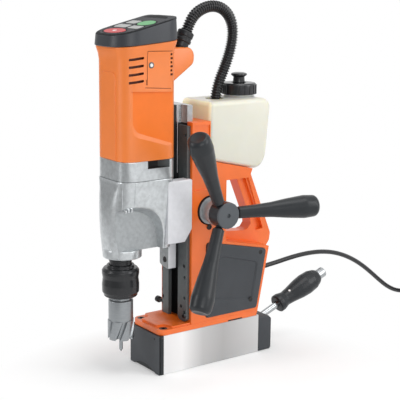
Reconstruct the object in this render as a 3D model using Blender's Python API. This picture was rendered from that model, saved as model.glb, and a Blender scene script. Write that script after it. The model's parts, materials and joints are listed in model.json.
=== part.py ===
# Magnetic-base core drill at rest, in metres with +Z up.
# The drill faces -Y, the feed capstan is on the +X side, and the foot's underside is centred on the origin.
import math

import bmesh
import bpy
from mathutils import Matrix, Vector

for old in list(bpy.data.objects):
    bpy.data.objects.remove(old)

# Clearances
REST = 0.0003
RUN = 0.0006
PAST = 0.003

# Magnet foot
FOOT_WIDTH = 0.088
FOOT_LENGTH = 0.202
FOOT_TOP = 0.067
FOOT_WALL = 0.010
FOOT_ROOF = 0.012
POLE_THICK = 0.004
POLE_INSET = 0.0005
COVER_THICK = 0.003
COVER_LEG = 0.012
COVER_ARCH = 0.009
CAP_LENGTH = 0.029
CAP_TOP = 0.062
CAP_FLOOR = 0.0065
CAP_LIFT = 0.0006
SLOT_HALF = 0.0092
MAGNET_LENGTH = 0.150
MAGNET_FRONT_ROOM = 0.005
MAGNET_HEIGHT = 0.036
TAIL_HALF = 0.0065
TAIL_THICK = 0.013
TAIL_REACH = 0.0035
TAIL_TEETH = 0.012

# Magnet lever
LEVER_BACK = 0.016
LEVER_Z = 0.036
LEVER_TEETH = 12
LEVER_MODULE = 0.002
LEVER_RISE = math.radians(22.0)
LEVER_PIN_RADIUS = 0.004
LEVER_PIN_HALF = 0.028
LEVER_BOSS_RADIUS = 0.0083
LEVER_BOSS_END = 0.024
LEVER_ROD_RADIUS = 0.006
LEVER_ROD_END = 0.142
GRIP_START = 0.071
GRIP_LENGTH = 0.097
GRIP_COLLAR = 0.0155
GRIP_WAIST = 0.0125
GRIP_BELLY = 0.0175
BUTTON_RADIUS = 0.0095
BUTTON_SHOWN = 0.016
BUTTON_TRAVEL = 0.004
BUTTON_STEM = 0.0057

# Stand casting
BASE_THICK = 0.0087
BASE_CORNER = 0.008
STAND_INSET = 0.0005
GUIDE_FRONT = -0.041
COLUMN_RISE = 0.335
COLUMN_TOP_DEPTH = 0.0355
COLUMN_DEPTH = 0.069
SHELF_RISE = 0.235
SHELF_REACH = 0.0875
SHELF_FRONT_THICK = 0.035
SHELF_REAR_THICK = 0.0145
BODY_REAR = 0.098
BODY_LEAN = 0.023
BODY_RISE = 0.111
BODY_DROP = 0.0205
STRUT_HALF = 0.0115
STRUT_DEPTH = 0.031
STRUT_TOP_BACK = 0.072
STRUT_LEAN = 0.046
STRUT_FOOT_RISE = 0.125
STRUT_GROOVE = 0.003
BOLT_SIDE = 0.033
BOLT_BACK = 0.012
BOLT_RADIUS = 0.004
BOLT_HEAD_RADIUS = 0.0065
BOLT_HEAD = 0.004
BOLT_GRIP = 0.009

# Guide and feed
NECK_HALF = 0.0132
NECK_DEPTH = 0.0255
FLANGE_HALF = 0.028
FLANGE_THICK = 0.0102
GIB_THICK = 0.0062
GIB_OUTER = 0.038
GIB_RISE = 0.004
GIB_SHORT = 0.006
GIB_HOLE = 0.0028
CARRIAGE_RISE = 0.092
CARRIAGE_LENGTH = 0.269
RACK_HALF = 0.009
RACK_LOW = 0.028
RACK_HIGH = 0.190
FEED_MODULE = 0.002
FEED_TEETH = 15
PINION_BACK = 0.0355
PINION_RISE = 0.189
PINION_HALF = 0.010
SHAFT_RADIUS = 0.008
JOURNAL_RADIUS = 0.006
JOURNAL_END = 0.030
DISC_RADIUS = 0.0245
DISC_SEAT = 0.006
DISC_PROUD = 0.003
HUB_BACK = 0.056
HUB_FACE = 0.095
HUB_RADIUS = 0.0215
HUB_DISC_THICK = 0.0035
HANDLE_REACH = 0.160
HANDLE_CROSS = 0.018
HANDLE_SPLAY = math.radians(16.4)
HANDLE_STEM = 0.0098
HANDLE_BELLY = 0.0185
HANDLE_ROOT = 0.0115
HANDLE_PIN = 0.0055
HANDLE_FIRST = math.radians(1.3)
HANDLE_COUNT = 3
KNOB_RADIUS = 0.0055
KNOB_RISE = 0.021
KNOB_THICK = 0.008
KNOB_NECK = 0.0029
KNOB_STUD = 0.0022
KNOB_STUD_IN = 0.010

# Side cover and electronics
SIDE_COVER_FRONT = -0.012
SIDE_COVER_MARGIN = 0.006
SIDE_COVER_SEAT = 0.0057
SIDE_COVER_PROUD = 0.002
PANEL_INSET = 0.013
PANEL_PROUD = 0.0015
BAY_INSET = 0.015
BAY_FLOOR = 0.012
BOARD_THICK = 0.0018
BOARD_LENGTH = 0.056
BOARD_HEIGHT = 0.048
BOARD_CHIP = 0.012

# Drill unit
SPINDLE_Y = -0.1495
MOTOR_Y = -0.1185
MOTOR_HALF_WIDTH = 0.045
MOTOR_HALF_DEPTH = 0.0505
MOTOR_CORNER = 0.022
CLAMP_RISE = 0.051
CLAMP_HEIGHT = 0.102
CLAMP_HALF = 0.044
CLAMP_FRONT = -0.092
CLAMP_CHAMFER = 0.014
CLAMP_CHAMFER_RISE = 0.020
CHEEK_SHORT = 0.0013
CHEEK_GAP = 0.0008
BOSS_RADIUS = 0.0305
BOSS_DROP = 0.020
SPINDLE_CASE_FOOT = 0.0312
SPINDLE_CASE = 0.0335
SPINDLE_CASE_TOP = 0.0190
HOUSING_DRAFT = 0.008
WEB_DROP = 0.007
WEB_NEAR = 0.0235
WEB_FAR = 0.0340
ARCH_REAR = -0.096
ARCH_LENGTH = 0.079
ARCH_HEIGHT = 0.070
ARCH_DROP = 0.015
ARCH_BOW = 0.833
POT_RISE = 0.081
POT_HEIGHT = 0.026
POT_WALL = 0.004
LOWER_FLOOR_RISE = 0.045
GEAR_ROOM = 0.0008
BAND_HEIGHT = 0.0274
BAND_PROUD = 0.0008
BAND_PLATE = 0.0117
MOTOR_HEIGHT = 0.179
MOTOR_WALL = 0.004
MOTOR_ROOF = 0.011
MOTOR_FLARE = 0.0045
MOTOR_FLARE_HEIGHT = 0.022
SLOT_COUNT = 4
SLOT_PITCH = 0.0115
SLOT_LENGTH = 0.026
SLOT_HEIGHT = 0.0034
SLOT_TOP = 0.017
SLOT_FRONT = -0.160
LOBE_HALF = 0.013
LOBE_REACH = 0.053
LOBE_TOP = 0.006
LOBE_HEIGHT = 0.058
STATOR_BORE = 0.0235
STATOR_RISE = 0.024
STATOR_LENGTH = 0.074
ARMATURE_RADIUS = 0.0225
ARMATURE_SHAFT = 0.004
FAN_RADIUS = 0.033
FAN_BLADES = 7
BEARING_RADIUS = 0.011

# Gear train
PRESSURE = math.radians(25.0)
ADDENDUM = 0.85
DEDENDUM = 1.15
BACKLASH = 0.00036
FAST_MODULE = 0.0012
FAST_PINION_TEETH = 10
FAST_WHEEL_TEETH = 30
SLOW_MODULE = 0.0015
SLOW_PINION_TEETH = 10
SLOW_WHEEL_TEETH = 25
FAST_FACE = 0.011
SLOW_FACE = 0.014
COUNTER_SHAFT = 0.004

# Spindle, chuck and tool
SPINDLE_RADIUS = 0.012
SPINDLE_NOSE = 0.024
LOWER_BEARING_RADIUS = 0.023
UPPER_BEARING_RADIUS = 0.021
BEARING_THICK = 0.011
CHUCK_GAP = 0.0006
CHUCK_COLLAR_RADIUS = 0.0190
CHUCK_COLLAR = 0.0052
CHUCK_RADIUS = 0.018
CHUCK_LENGTH = 0.0651
SLEEVE_TRAVEL = 0.006
SLEEVE_LENGTH = 0.0523
SLEEVE_RING_RADIUS = 0.0220
SLEEVE_RING = 0.0050
SLEEVE_TOP_RADIUS = 0.0300
SLEEVE_WAIST = 0.0288
SLEEVE_BULGE = 0.0300
SLEEVE_FOOT_RADIUS = 0.0270
SHANK_RADIUS = 0.0095
SHANK_LENGTH = 0.028
CUTTER_RADIUS = 0.020
CUTTER_LENGTH = 0.0699
CUTTER_WALL = 0.0045
CUTTER_ROOF = 0.012
CUTTER_GULLET = 0.0045
PILOT_RADIUS = 0.003
PILOT_SHOWN = 0.0244
PILOT_TRAVEL = 0.025

# Control head
HEAD_PROUD = 0.0048
HEAD_FRONT_CORNER = 0.036
HEAD_REAR_CORNER = 0.016
HEAD_FRONT_EXTRA = 0.0045
HEAD_FRONT_HEIGHT = 0.0168
HEAD_SLOPE = math.radians(13.6)
SEAM_SLOPE = math.radians(5.0)
HEAD_WALL = 0.004
HEAD_POCKET = 0.011
PAD_HALF = 0.0445
PAD_LENGTH = 0.108
PAD_BACK = 0.0575
PAD_FRONT_CORNER = 0.035
PAD_SEAT = 0.0026
PAD_THICK = 0.0030
KEY_TRAVEL = 0.0012
KEY_HEIGHT = 0.0024
KEY_LIFT = 0.0014

# Ribbed cable hose
HOSE_RADIUS = 0.0096
HOSE_GROOVE = 0.84
HOSE_BORE = 0.0066
RIB_PITCH = 0.0054
HOSE_SOCKET_RADIUS = 0.0125
HOSE_SOCKET_RISE = 0.040
HOSE_INSERT = 0.006
HOSE_WELL_Y = 0.0335
CONNECTOR_RADIUS = 0.0115
CONNECTOR_LENGTH = 0.027
CONNECTOR_SINK = 0.008
CONNECTOR_LEAN = math.radians(26.0)
CONNECTOR_BACK = 0.0320

# Coolant tank
TANK_HALF = 0.0415
TANK_REAR = 0.122
TANK_CORNER = 0.030
TANK_RISE = 0.365
TANK_WALL = 0.0028
TANK_TAPER = 0.012
TANK_ROUND = 0.006
WELL_RADIUS = 0.0155
NECK_Y = 0.0835
NECK_RADIUS = 0.024
NECK_HEIGHT = 0.0145
NECK_BORE = 0.020
CAP_RADIUS = 0.030
CAP_HEIGHT = 0.021
CAP_ROOF = 0.009
CAP_START = 0.005
STOPPER_THICK = 0.007
VENT_STEM = 0.0102
VENT_FLANGE = 0.0137
VENT_HEIGHT = 0.0165
VENT_PIN = 0.004

# Supply cord
CORD_RADIUS = 0.0042
GLAND_X = -0.024
GLAND_RISE = 0.044
GLAND_TILT = math.radians(8.0)
GLAND_RADIUS = 0.008
GLAND_SINK = 0.012
GLAND_LENGTH = 0.045
GLAND_TIP = 0.0058
CORD_INSERT = 0.006
COIL_AT = (0.0, 0.620)
COIL_INNER = 0.0366
COIL_PITCH = 0.0092
COIL_TURNS = 1.875
COIL_LAYERS = 4
COIL_CLIMB = 1 / 6
COIL_LIFT = 0.0060
COIL_POINTS = 24
COIL_JOIN = 0.0012
TAIL_LENGTH = 0.088
TIE_ANGLE = math.radians(230.0)
TIE_WIDTH = 0.008
TIE_THICK = 0.001
PLUG_RADIUS = 0.019
PLUG_LENGTH = 0.042
PLUG_NECK = 0.014
PIN_RADIUS = 0.0024
PIN_LENGTH = 0.019
PIN_SIDE = 0.0095

# Levels and places that follow from the sizes above
FOOT_REAR = FOOT_LENGTH / 2
FOOT_FRONT = -FOOT_LENGTH / 2
STAND_HALF = FOOT_WIDTH / 2 - STAND_INSET
BASE_LOW = FOOT_TOP + REST
BASE_TOP = BASE_LOW + BASE_THICK
COLUMN_TOP = BASE_TOP + COLUMN_RISE
COLUMN_TOP_REAR = GUIDE_FRONT + COLUMN_TOP_DEPTH
COLUMN_REAR = GUIDE_FRONT + COLUMN_DEPTH
SHELF_LOW = BASE_TOP + SHELF_RISE
SHELF_REAR = COLUMN_TOP_REAR + SHELF_REACH
LEVER_Y = FOOT_REAR + LEVER_BACK
LEVER_ALONG = Vector((0, math.cos(LEVER_RISE), math.sin(LEVER_RISE)))
LEVER_AT = Vector((0, LEVER_Y, LEVER_Z))
GIB_FRONT = GUIDE_FRONT - REST - GIB_THICK
GIB_INNER = NECK_HALF + RUN
NECK_FRONT = GUIDE_FRONT - NECK_DEPTH
FLANGE_REAR = GUIDE_FRONT + REST + FLANGE_THICK
PINION_Y = GUIDE_FRONT + PINION_BACK
PINION_Z = BASE_TOP + PINION_RISE
FEED_RADIUS = FEED_MODULE * FEED_TEETH / 2
RACK_PITCH_Y = PINION_Y - FEED_RADIUS
CARRIAGE_LOW = BASE_TOP + CARRIAGE_RISE
CARRIAGE_TOP = CARRIAGE_LOW + CARRIAGE_LENGTH
CLAMP_LOW = CARRIAGE_LOW + CLAMP_RISE
BOSS_LOW = CLAMP_LOW - BOSS_DROP
POT_LOW = CLAMP_LOW + POT_RISE
POT_TOP = POT_LOW + POT_HEIGHT
LOWER_FLOOR = CLAMP_LOW + LOWER_FLOOR_RISE
BAND_LOW = POT_TOP + REST
BAND_TOP = BAND_LOW + BAND_HEIGHT
MOTOR_LOW = BAND_TOP + REST
MOTOR_TOP = MOTOR_LOW + MOTOR_HEIGHT
HEAD_LOW = MOTOR_TOP + REST
MOTOR_REAR = MOTOR_Y + MOTOR_HALF_DEPTH
DISC_INNER = STAND_HALF - DISC_SEAT
HEAD_FRONT = MOTOR_Y - MOTOR_HALF_DEPTH - HEAD_PROUD - HEAD_FRONT_EXTRA

FINISHES = {
    "orange": ((0.80, 0.17, 0.03), 0.42, 0.0),
    "dark_plastic": ((0.035, 0.037, 0.040), 0.50, 0.0),
    "grey_plastic": ((0.09, 0.09, 0.10), 0.50, 0.0),
    "keypad_grey": ((0.32, 0.31, 0.31), 0.55, 0.0),
    "red": ((0.55, 0.05, 0.06), 0.40, 0.0),
    "green": ((0.16, 0.40, 0.20), 0.40, 0.0),
    "steel": ((0.52, 0.53, 0.55), 0.30, 1.0),
    "dark_steel": ((0.10, 0.11, 0.12), 0.40, 0.8),
    "chrome": ((0.75, 0.75, 0.77), 0.12, 1.0),
    "aluminium": ((0.66, 0.67, 0.69), 0.45, 0.7),
    "copper": ((0.60, 0.28, 0.14), 0.40, 0.9),
    "magnet": ((0.12, 0.12, 0.13), 0.60, 0.3),
    "tank": ((0.83, 0.80, 0.70), 0.45, 0.0),
    "rubber": ((0.025, 0.025, 0.027), 0.70, 0.0),
    "board": ((0.03, 0.20, 0.08), 0.50, 0.0),
}

AXES = {"x": (1, 2, 0), "y": (0, 2, 1), "z": (0, 1, 2)}


def own_finish(name, finish):
    colour, roughness, metallic = FINISHES[finish]
    made = bpy.data.materials.new(f"{name}_{finish}")
    made.use_nodes = True
    shader = made.node_tree.nodes["Principled BSDF"]
    shader.inputs["Base Color"].default_value = (*colour, 1.0)
    shader.inputs["Roughness"].default_value = roughness
    shader.inputs["Metallic"].default_value = metallic
    made.diffuse_color = (*colour, 1.0)
    return made


def place(name, finish, form, at=(0, 0, 0), toward=(0, 0, 1)):
    bmesh.ops.recalc_face_normals(form, faces=form.faces)
    mesh = bpy.data.meshes.new(name)
    form.to_mesh(mesh)
    form.free()
    made = bpy.data.objects.new(name, mesh)
    bpy.context.collection.objects.link(made)
    made.location = at
    made.rotation_euler = Vector((0, 0, 1)).rotation_difference(Vector(toward)).to_euler()
    if finish:
        mesh.materials.append(own_finish(name, finish))
    else:
        made.hide_render = True
        made.display_type = "WIRE"
    return made


def prism(name, finish, outline, axis, low, high, origin=(0, 0, 0)):
    first, second, along = AXES[axis]
    form = bmesh.new()
    corners = []
    for a, b in outline:
        point = Vector((0, 0, 0))
        point[first] = a
        point[second] = b
        point[along] = low
        corners.append(form.verts.new(point - Vector(origin)))
    face = form.faces.new(corners)
    grown = bmesh.ops.extrude_face_region(form, geom=[face])
    lift = Vector((0, 0, 0))
    lift[along] = high - low
    moved = [part for part in grown["geom"] if isinstance(part, bmesh.types.BMVert)]
    bmesh.ops.translate(form, verts=moved, vec=lift)
    return place(name, finish, form, origin)


def rounded(corners, steps=4):
    outline = []
    for index, corner in enumerate(corners):
        here = Vector(corner[:2])
        if len(corner) < 3:
            outline.append(tuple(here))
            continue
        back = (Vector(corners[index - 1][:2]) - here).normalized()
        onward = (Vector(corners[(index + 1) % len(corners)][:2]) - here).normalized()
        half = back.angle(onward) / 2
        middle = here + (back + onward).normalized() * corner[2] / math.sin(half)
        start = here + back * corner[2] / math.tan(half) - middle
        end = here + onward * corner[2] / math.tan(half) - middle
        first = math.atan2(start.y, start.x)
        sweep = (math.atan2(end.y, end.x) - first + math.pi) % math.tau - math.pi
        for step in range(steps + 1):
            turn = first + sweep * step / steps
            outline.append((middle.x + corner[2] * math.cos(turn), middle.y + corner[2] * math.sin(turn)))
    return outline


def inset_outline(points, amount):
    area = sum(a[0] * b[1] - b[0] * a[1] for a, b in zip(points, points[1:] + points[:1]))
    turn = math.copysign(1.0, area)
    moved = []
    for index, point in enumerate(points):
        back = (Vector(point) - Vector(points[index - 1])).normalized()
        onward = (Vector(points[(index + 1) % len(points)]) - Vector(point)).normalized()
        first = Vector((-back.y, back.x)) * turn
        second = Vector((-onward.y, onward.x)) * turn
        moved.append(tuple(Vector(point) + (first + second) * amount / (1 + first.dot(second))))
    return moved


def loft(name, finish, loops):
    form = bmesh.new()
    rings = [[form.verts.new(point) for point in loop] for loop in loops]
    form.faces.new(rings[0])
    form.faces.new(rings[-1])
    for lower, upper in zip(rings, rings[1:]):
        for index in range(len(lower)):
            form.faces.new((lower[index - 1], lower[index], upper[index], upper[index - 1]))
    return place(name, finish, form)


def rectangle(low_a, high_a, low_b, high_b, corner=0.0, steps=4):
    corners = [(low_a, low_b), (high_a, low_b), (high_a, high_b), (low_a, high_b)]
    if not corner:
        return corners
    return rounded([(a, b, corner) for a, b in corners], steps)


def box(name, finish, low, high, origin=(0, 0, 0)):
    outline = rectangle(low[0], high[0], low[1], high[1])
    return prism(name, finish, outline, "z", low[2], high[2], origin)


def lathe(name, finish, profile, at, toward=(0, 0, 1), steps=18):
    form = bmesh.new()
    points = [form.verts.new((radius, 0, height)) for radius, height in profile]
    pairs = list(zip(points, points[1:]))
    if profile[0][0] > 0:
        pairs.append((points[-1], points[0]))
    edges = [form.edges.new(pair) for pair in pairs]
    bmesh.ops.spin(
        form,
        geom=points + edges,
        cent=(0, 0, 0),
        axis=(0, 0, 1),
        angle=math.tau,
        steps=steps,
        use_merge=True,
    )
    bmesh.ops.remove_doubles(form, verts=form.verts, dist=1e-7)
    return place(name, finish, form, at, toward)


def rod(name, finish, radius, low, high, at, toward=(0, 0, 1), steps=16):
    return lathe(name, finish, [(0, low), (radius, low), (radius, high), (0, high)], at, toward, steps)


def ring(name, finish, inner, outer, low, high, at, toward=(0, 0, 1), steps=18):
    return lathe(name, finish, [(inner, low), (outer, low), (outer, high), (inner, high)], at, toward, steps)


def boolean(body, tool, kind):
    step = body.modifiers.new(tool.name, "BOOLEAN")
    step.operation = kind
    step.solver = "EXACT"
    step.object = tool
    tool.hide_render = True
    tool.display_type = "WIRE"


def cut(body, *tools):
    for tool in tools:
        boolean(body, tool, "DIFFERENCE")


def fuse(body, *tools):
    for tool in tools:
        boolean(body, tool, "UNION")


def gear_outline(middle, teeth, module, first_tooth):
    pitch = module * teeth / 2
    base = pitch * math.cos(PRESSURE)
    root = pitch - DEDENDUM * module
    tip = pitch + ADDENDUM * module
    at_pitch = math.pi / (2 * teeth) - BACKLASH / (2 * pitch) + math.tan(PRESSURE) - PRESSURE
    outline = []
    for tooth in range(teeth):
        centre = first_tooth + math.tau * tooth / teeth
        rising = []
        for radius in (root, pitch, tip) if teeth < 12 else (root, tip):
            roll = math.acos(base / max(radius, base))
            rising.append((radius, at_pitch - math.tan(roll) + roll))
        flank = [(radius, centre - half) for radius, half in rising]
        flank += [(radius, centre + half) for radius, half in reversed(rising)]
        outline += [(middle[0] + r * math.cos(t), middle[1] + r * math.sin(t)) for r, t in flank]
    return outline


def rack_teeth(low, high, pitch_line, gap_at, module, lift):
    # Points along a rack from low to high, as (along, across), with a gap centred on gap_at.
    pitch = math.pi * module
    half = pitch / 4 - BACKLASH / 2
    tip = half - ADDENDUM * module * math.tan(PRESSURE)
    foot = half + DEDENDUM * module * math.tan(PRESSURE)
    points = []
    first = math.ceil((low + foot - gap_at) / pitch - 0.5)
    last = math.floor((high - foot - gap_at) / pitch - 0.5)
    for tooth in range(first, last + 1):
        centre = gap_at + (tooth + 0.5) * pitch
        points.append((centre - foot, pitch_line - lift * DEDENDUM * module))
        points.append((centre - tip, pitch_line + lift * ADDENDUM * module))
        points.append((centre + tip, pitch_line + lift * ADDENDUM * module))
        points.append((centre + foot, pitch_line - lift * DEDENDUM * module))
    return points


def smooth(points, steps=12):
    # A curve through the points, finely divided.
    ends = [2 * Vector(points[0]) - Vector(points[1])]
    ends += [Vector(point) for point in points]
    ends.append(2 * Vector(points[-1]) - Vector(points[-2]))
    line = []
    for before, start, end, after in zip(ends, ends[1:], ends[2:], ends[3:]):
        for step in range(steps):
            t = step / steps
            bend = 2 * start + (end - before) * t
            bend += (2 * before - 5 * start + 4 * end - after) * t**2
            bend += (3 * start - before - 3 * end + after) * t**3
            line.append(bend / 2)
    line.append(ends[-2])
    return line


def spaced(line, count):
    lengths = [0.0]
    for start, end in zip(line, line[1:]):
        lengths.append(lengths[-1] + (end - start).length)
    points = []
    index = 0
    for step in range(count):
        want = lengths[-1] * step / (count - 1)
        while index < len(line) - 2 and lengths[index + 1] < want:
            index += 1
        share = (want - lengths[index]) / (lengths[index + 1] - lengths[index])
        points.append(line[index].lerp(line[index + 1], share))
    return points


def length_of(line):
    return sum((end - start).length for start, end in zip(line, line[1:]))


def tube(name, finish, points, radius, shares=None, sides=2):
    curve = bpy.data.curves.new(name, "CURVE")
    curve.dimensions = "3D"
    curve.bevel_depth = radius
    curve.bevel_resolution = sides
    curve.use_fill_caps = True
    spline = curve.splines.new("POLY")
    spline.points.add(len(points) - 1)
    for index, point in enumerate(points):
        spline.points[index].co = (*point, 1.0)
        if shares:
            spline.points[index].radius = shares[index]
    guide = bpy.data.objects.new(f"{name}_line", curve)
    bpy.context.collection.objects.link(guide)
    graph = bpy.context.evaluated_depsgraph_get()
    form = bmesh.new()
    form.from_mesh(bpy.data.meshes.new_from_object(guide.evaluated_get(graph)))
    bpy.data.objects.remove(guide)
    bmesh.ops.remove_doubles(form, verts=form.verts, dist=1e-6)
    return place(name, finish, form)


def body_group(name, at):
    made = bpy.data.objects.new(name, None)
    bpy.context.collection.objects.link(made)
    made.location = at
    made.empty_display_size = 0.02
    return made


def carry(group, *objects):
    for item in objects:
        item.parent = group
        item.matrix_parent_inverse = Matrix.Translation(group.location).inverted()


# Magnet foot


def build_foot():
    half = FOOT_WIDTH / 2
    box(
        "pole_plate",
        "dark_steel",
        (POLE_INSET - half, FOOT_FRONT + POLE_INSET, 0),
        (half - POLE_INSET, FOOT_REAR - POLE_INSET, POLE_THICK),
    )
    shell = box("foot_shell", "steel", (-half, FOOT_FRONT, POLE_THICK + REST), (half, FOOT_REAR, FOOT_TOP))
    bay = box(
        "magnet_bay",
        None,
        (FOOT_WALL - half, FOOT_FRONT + FOOT_WALL, -PAST),
        (half - FOOT_WALL, FOOT_REAR - FOOT_WALL, FOOT_TOP - FOOT_ROOF),
    )
    tail_top = LEVER_Z - LEVER_MODULE * LEVER_TEETH / 2 + ADDENDUM * LEVER_MODULE
    tail_way = box(
        "tail_way",
        None,
        (-TAIL_HALF - RUN, FOOT_REAR - FOOT_WALL - PAST, tail_top - TAIL_THICK - RUN),
        (TAIL_HALF + RUN, FOOT_REAR + PAST, tail_top + RUN),
    )
    cut(shell, bay, tail_way)
    for side, name in ((1, "right"), (-1, "left")):
        at = (side * BOLT_SIDE, FOOT_FRONT + BOLT_BACK, FOOT_TOP)
        cut(shell, rod(f"bolt_hole_{name}", None, BOLT_RADIUS + REST, -BOLT_GRIP - REST, PAST, at, steps=16))


def build_front_cover():
    half = FOOT_WIDTH / 2
    rear = FOOT_FRONT - REST
    low = POLE_INSET
    foot_in = half - COVER_LEG
    rise = COVER_ARCH
    radius = (foot_in**2 + rise**2) / (2 * rise)
    sweep = math.asin(foot_in / radius)
    arch = []
    for step in range(13):
        turn = sweep * (1 - step / 6)
        arch.append((radius * math.sin(turn), low + rise - radius + radius * math.cos(turn)))
    outline = [(-half, low), (-half, FOOT_TOP), (half, FOOT_TOP), (half, low)] + arch
    prism("front_cover", "dark_plastic", outline, "y", rear - COVER_THICK, rear)


def build_rear_cap():
    half = FOOT_WIDTH / 2
    front = FOOT_REAR + REST
    rear = front + CAP_LENGTH
    outline = rounded(
        [
            (front, CAP_LIFT),
            (rear, CAP_LIFT, 0.004),
            (rear, CAP_TOP - 0.006, 0.004),
            (rear - 0.006, CAP_TOP),
            (front, CAP_TOP),
        ],
        3,
    )
    cap = prism("rear_cap", "dark_plastic", outline, "x", -half, half)
    way_high = (SLOT_HALF, rear + PAST, CAP_TOP + PAST)
    way = box("lever_way", None, (-SLOT_HALF, front - PAST, CAP_FLOOR), way_high)
    pin_end = LEVER_PIN_HALF + REST
    bore = rod("lever_bore", None, LEVER_PIN_RADIUS + REST, -pin_end, pin_end, LEVER_AT, (1, 0, 0), 12)
    cut(cap, way, bore)


def build_magnet():
    inner = FOOT_WIDTH / 2 - FOOT_WALL - RUN
    front = FOOT_FRONT + FOOT_WALL + MAGNET_FRONT_ROOM
    rear = front + MAGNET_LENGTH
    low = POLE_THICK + REST
    pack = box("magnet_pack", "magnet", (-inner, front, low), (inner, rear, low + MAGNET_HEIGHT))
    pitch_line = LEVER_Z - LEVER_MODULE * LEVER_TEETH / 2
    end = LEVER_Y + TAIL_REACH
    teeth = rack_teeth(FOOT_REAR - TAIL_TEETH, end, pitch_line, LEVER_Y, LEVER_MODULE, 1)
    top = pitch_line + ADDENDUM * LEVER_MODULE
    outline = [(rear - PAST, top - TAIL_THICK), (end, top - TAIL_THICK)]
    outline += [(end, teeth[-1][1])] + teeth[::-1]
    outline += [(teeth[0][0], top), (rear - PAST, top)]
    tail = prism("magnet_tail", None, outline, "x", -TAIL_HALF, TAIL_HALF)
    fuse(pack, tail)


def build_lever():
    group = body_group("lever_pivot", LEVER_AT)
    outline = gear_outline((LEVER_Y, LEVER_Z), LEVER_TEETH, LEVER_MODULE, -math.pi / 2)
    shaft = prism("lever_shaft", "chrome", outline, "x", -TAIL_HALF, TAIL_HALF, LEVER_AT)
    pin = rod("lever_pin", None, LEVER_PIN_RADIUS, -LEVER_PIN_HALF, LEVER_PIN_HALF, LEVER_AT, (1, 0, 0), 12)
    boss = rod("lever_boss", None, LEVER_BOSS_RADIUS, 0, LEVER_BOSS_END, LEVER_AT, LEVER_ALONG)
    bar = rod("lever_bar", None, LEVER_ROD_RADIUS, 0.004, LEVER_ROD_END, LEVER_AT, LEVER_ALONG)
    fuse(shaft, pin, boss, bar)
    end = GRIP_START + GRIP_LENGTH
    seat = end - BUTTON_TRAVEL - 0.006
    outer = [
        (GRIP_COLLAR - 0.002, GRIP_START),
        (GRIP_COLLAR, GRIP_START + 0.002),
        (GRIP_COLLAR, GRIP_START + 0.008),
        (GRIP_WAIST, GRIP_START + 0.018),
        (GRIP_WAIST + 0.001, GRIP_START + 0.030),
        (GRIP_BELLY - 0.001, GRIP_START + 0.052),
        (GRIP_BELLY, GRIP_START + 0.068),
        (GRIP_BELLY - 0.001, GRIP_START + 0.084),
        (GRIP_BELLY - 0.004, end - 0.004),
        (GRIP_BELLY - 0.006, end),
    ]
    inner = [
        (BUTTON_RADIUS + REST, end),
        (BUTTON_RADIUS + REST, seat),
        (LEVER_ROD_RADIUS + REST, seat),
        (LEVER_ROD_RADIUS + REST, GRIP_START),
    ]
    grip = lathe("lever_grip", "dark_plastic", outer + inner, LEVER_AT, LEVER_ALONG, 16)
    head = seat + BUTTON_TRAVEL + RUN
    stem_end = LEVER_ROD_END + BUTTON_TRAVEL + RUN
    knob = [
        (0, stem_end),
        (BUTTON_STEM, stem_end),
        (BUTTON_STEM, head),
        (BUTTON_RADIUS, head),
        (BUTTON_RADIUS, end + BUTTON_SHOWN - 0.0015),
        (BUTTON_RADIUS - 0.0015, end + BUTTON_SHOWN),
        (0, end + BUTTON_SHOWN),
    ]
    button = lathe("lever_button", "chrome", knob, LEVER_AT, LEVER_ALONG, 16)
    carry(group, shaft, grip, button)


# Stand


def side_cover_outline(inset):
    rear_low = BODY_REAR - SIDE_COVER_MARGIN / 2
    low = BASE_TOP + SIDE_COVER_MARGIN
    lean = BODY_LEAN / BODY_RISE
    slope = BODY_DROP / (BODY_REAR + BODY_LEAN - COLUMN_REAR)
    top_rear = BASE_TOP + BODY_RISE - SIDE_COVER_MARGIN / 2
    rear_top = rear_low + BODY_LEAN - 0.004
    top_front = top_rear + slope * (rear_top - SIDE_COVER_FRONT)
    return rounded(
        [
            (SIDE_COVER_FRONT + inset, low + inset, 0.005),
            (rear_low + lean * inset - inset, low + inset, 0.005),
            (rear_top - inset - lean * inset, top_rear - inset, 0.006),
            (SIDE_COVER_FRONT + inset, top_front - inset * (1 + slope), 0.005),
        ],
        3,
    )


def strut_outline():
    top = SHELF_LOW + PAST
    inner_top = STRUT_TOP_BACK
    foot_z = BASE_TOP + STRUT_FOOT_RISE
    inner_foot = STRUT_TOP_BACK + STRUT_LEAN
    outer_foot = inner_foot + STRUT_DEPTH
    ridge_low = BASE_TOP + 0.062
    beam_low = BASE_TOP + BODY_RISE
    return rounded(
        [
            (inner_top, top),
            (inner_top + 0.003, SHELF_LOW - 0.010),
            (inner_foot - 0.004, foot_z + 0.008, 0.014),
            (COLUMN_REAR - PAST, foot_z + 0.018),
            (COLUMN_REAR - PAST, beam_low),
            (BODY_REAR + 0.010, ridge_low),
            (outer_foot - 0.002, foot_z - 0.014, 0.010),
            (outer_foot, foot_z, 0.008),
            (inner_top + STRUT_DEPTH, SHELF_LOW),
            (inner_top + STRUT_DEPTH - 0.004, top),
        ],
        3,
    )


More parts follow.
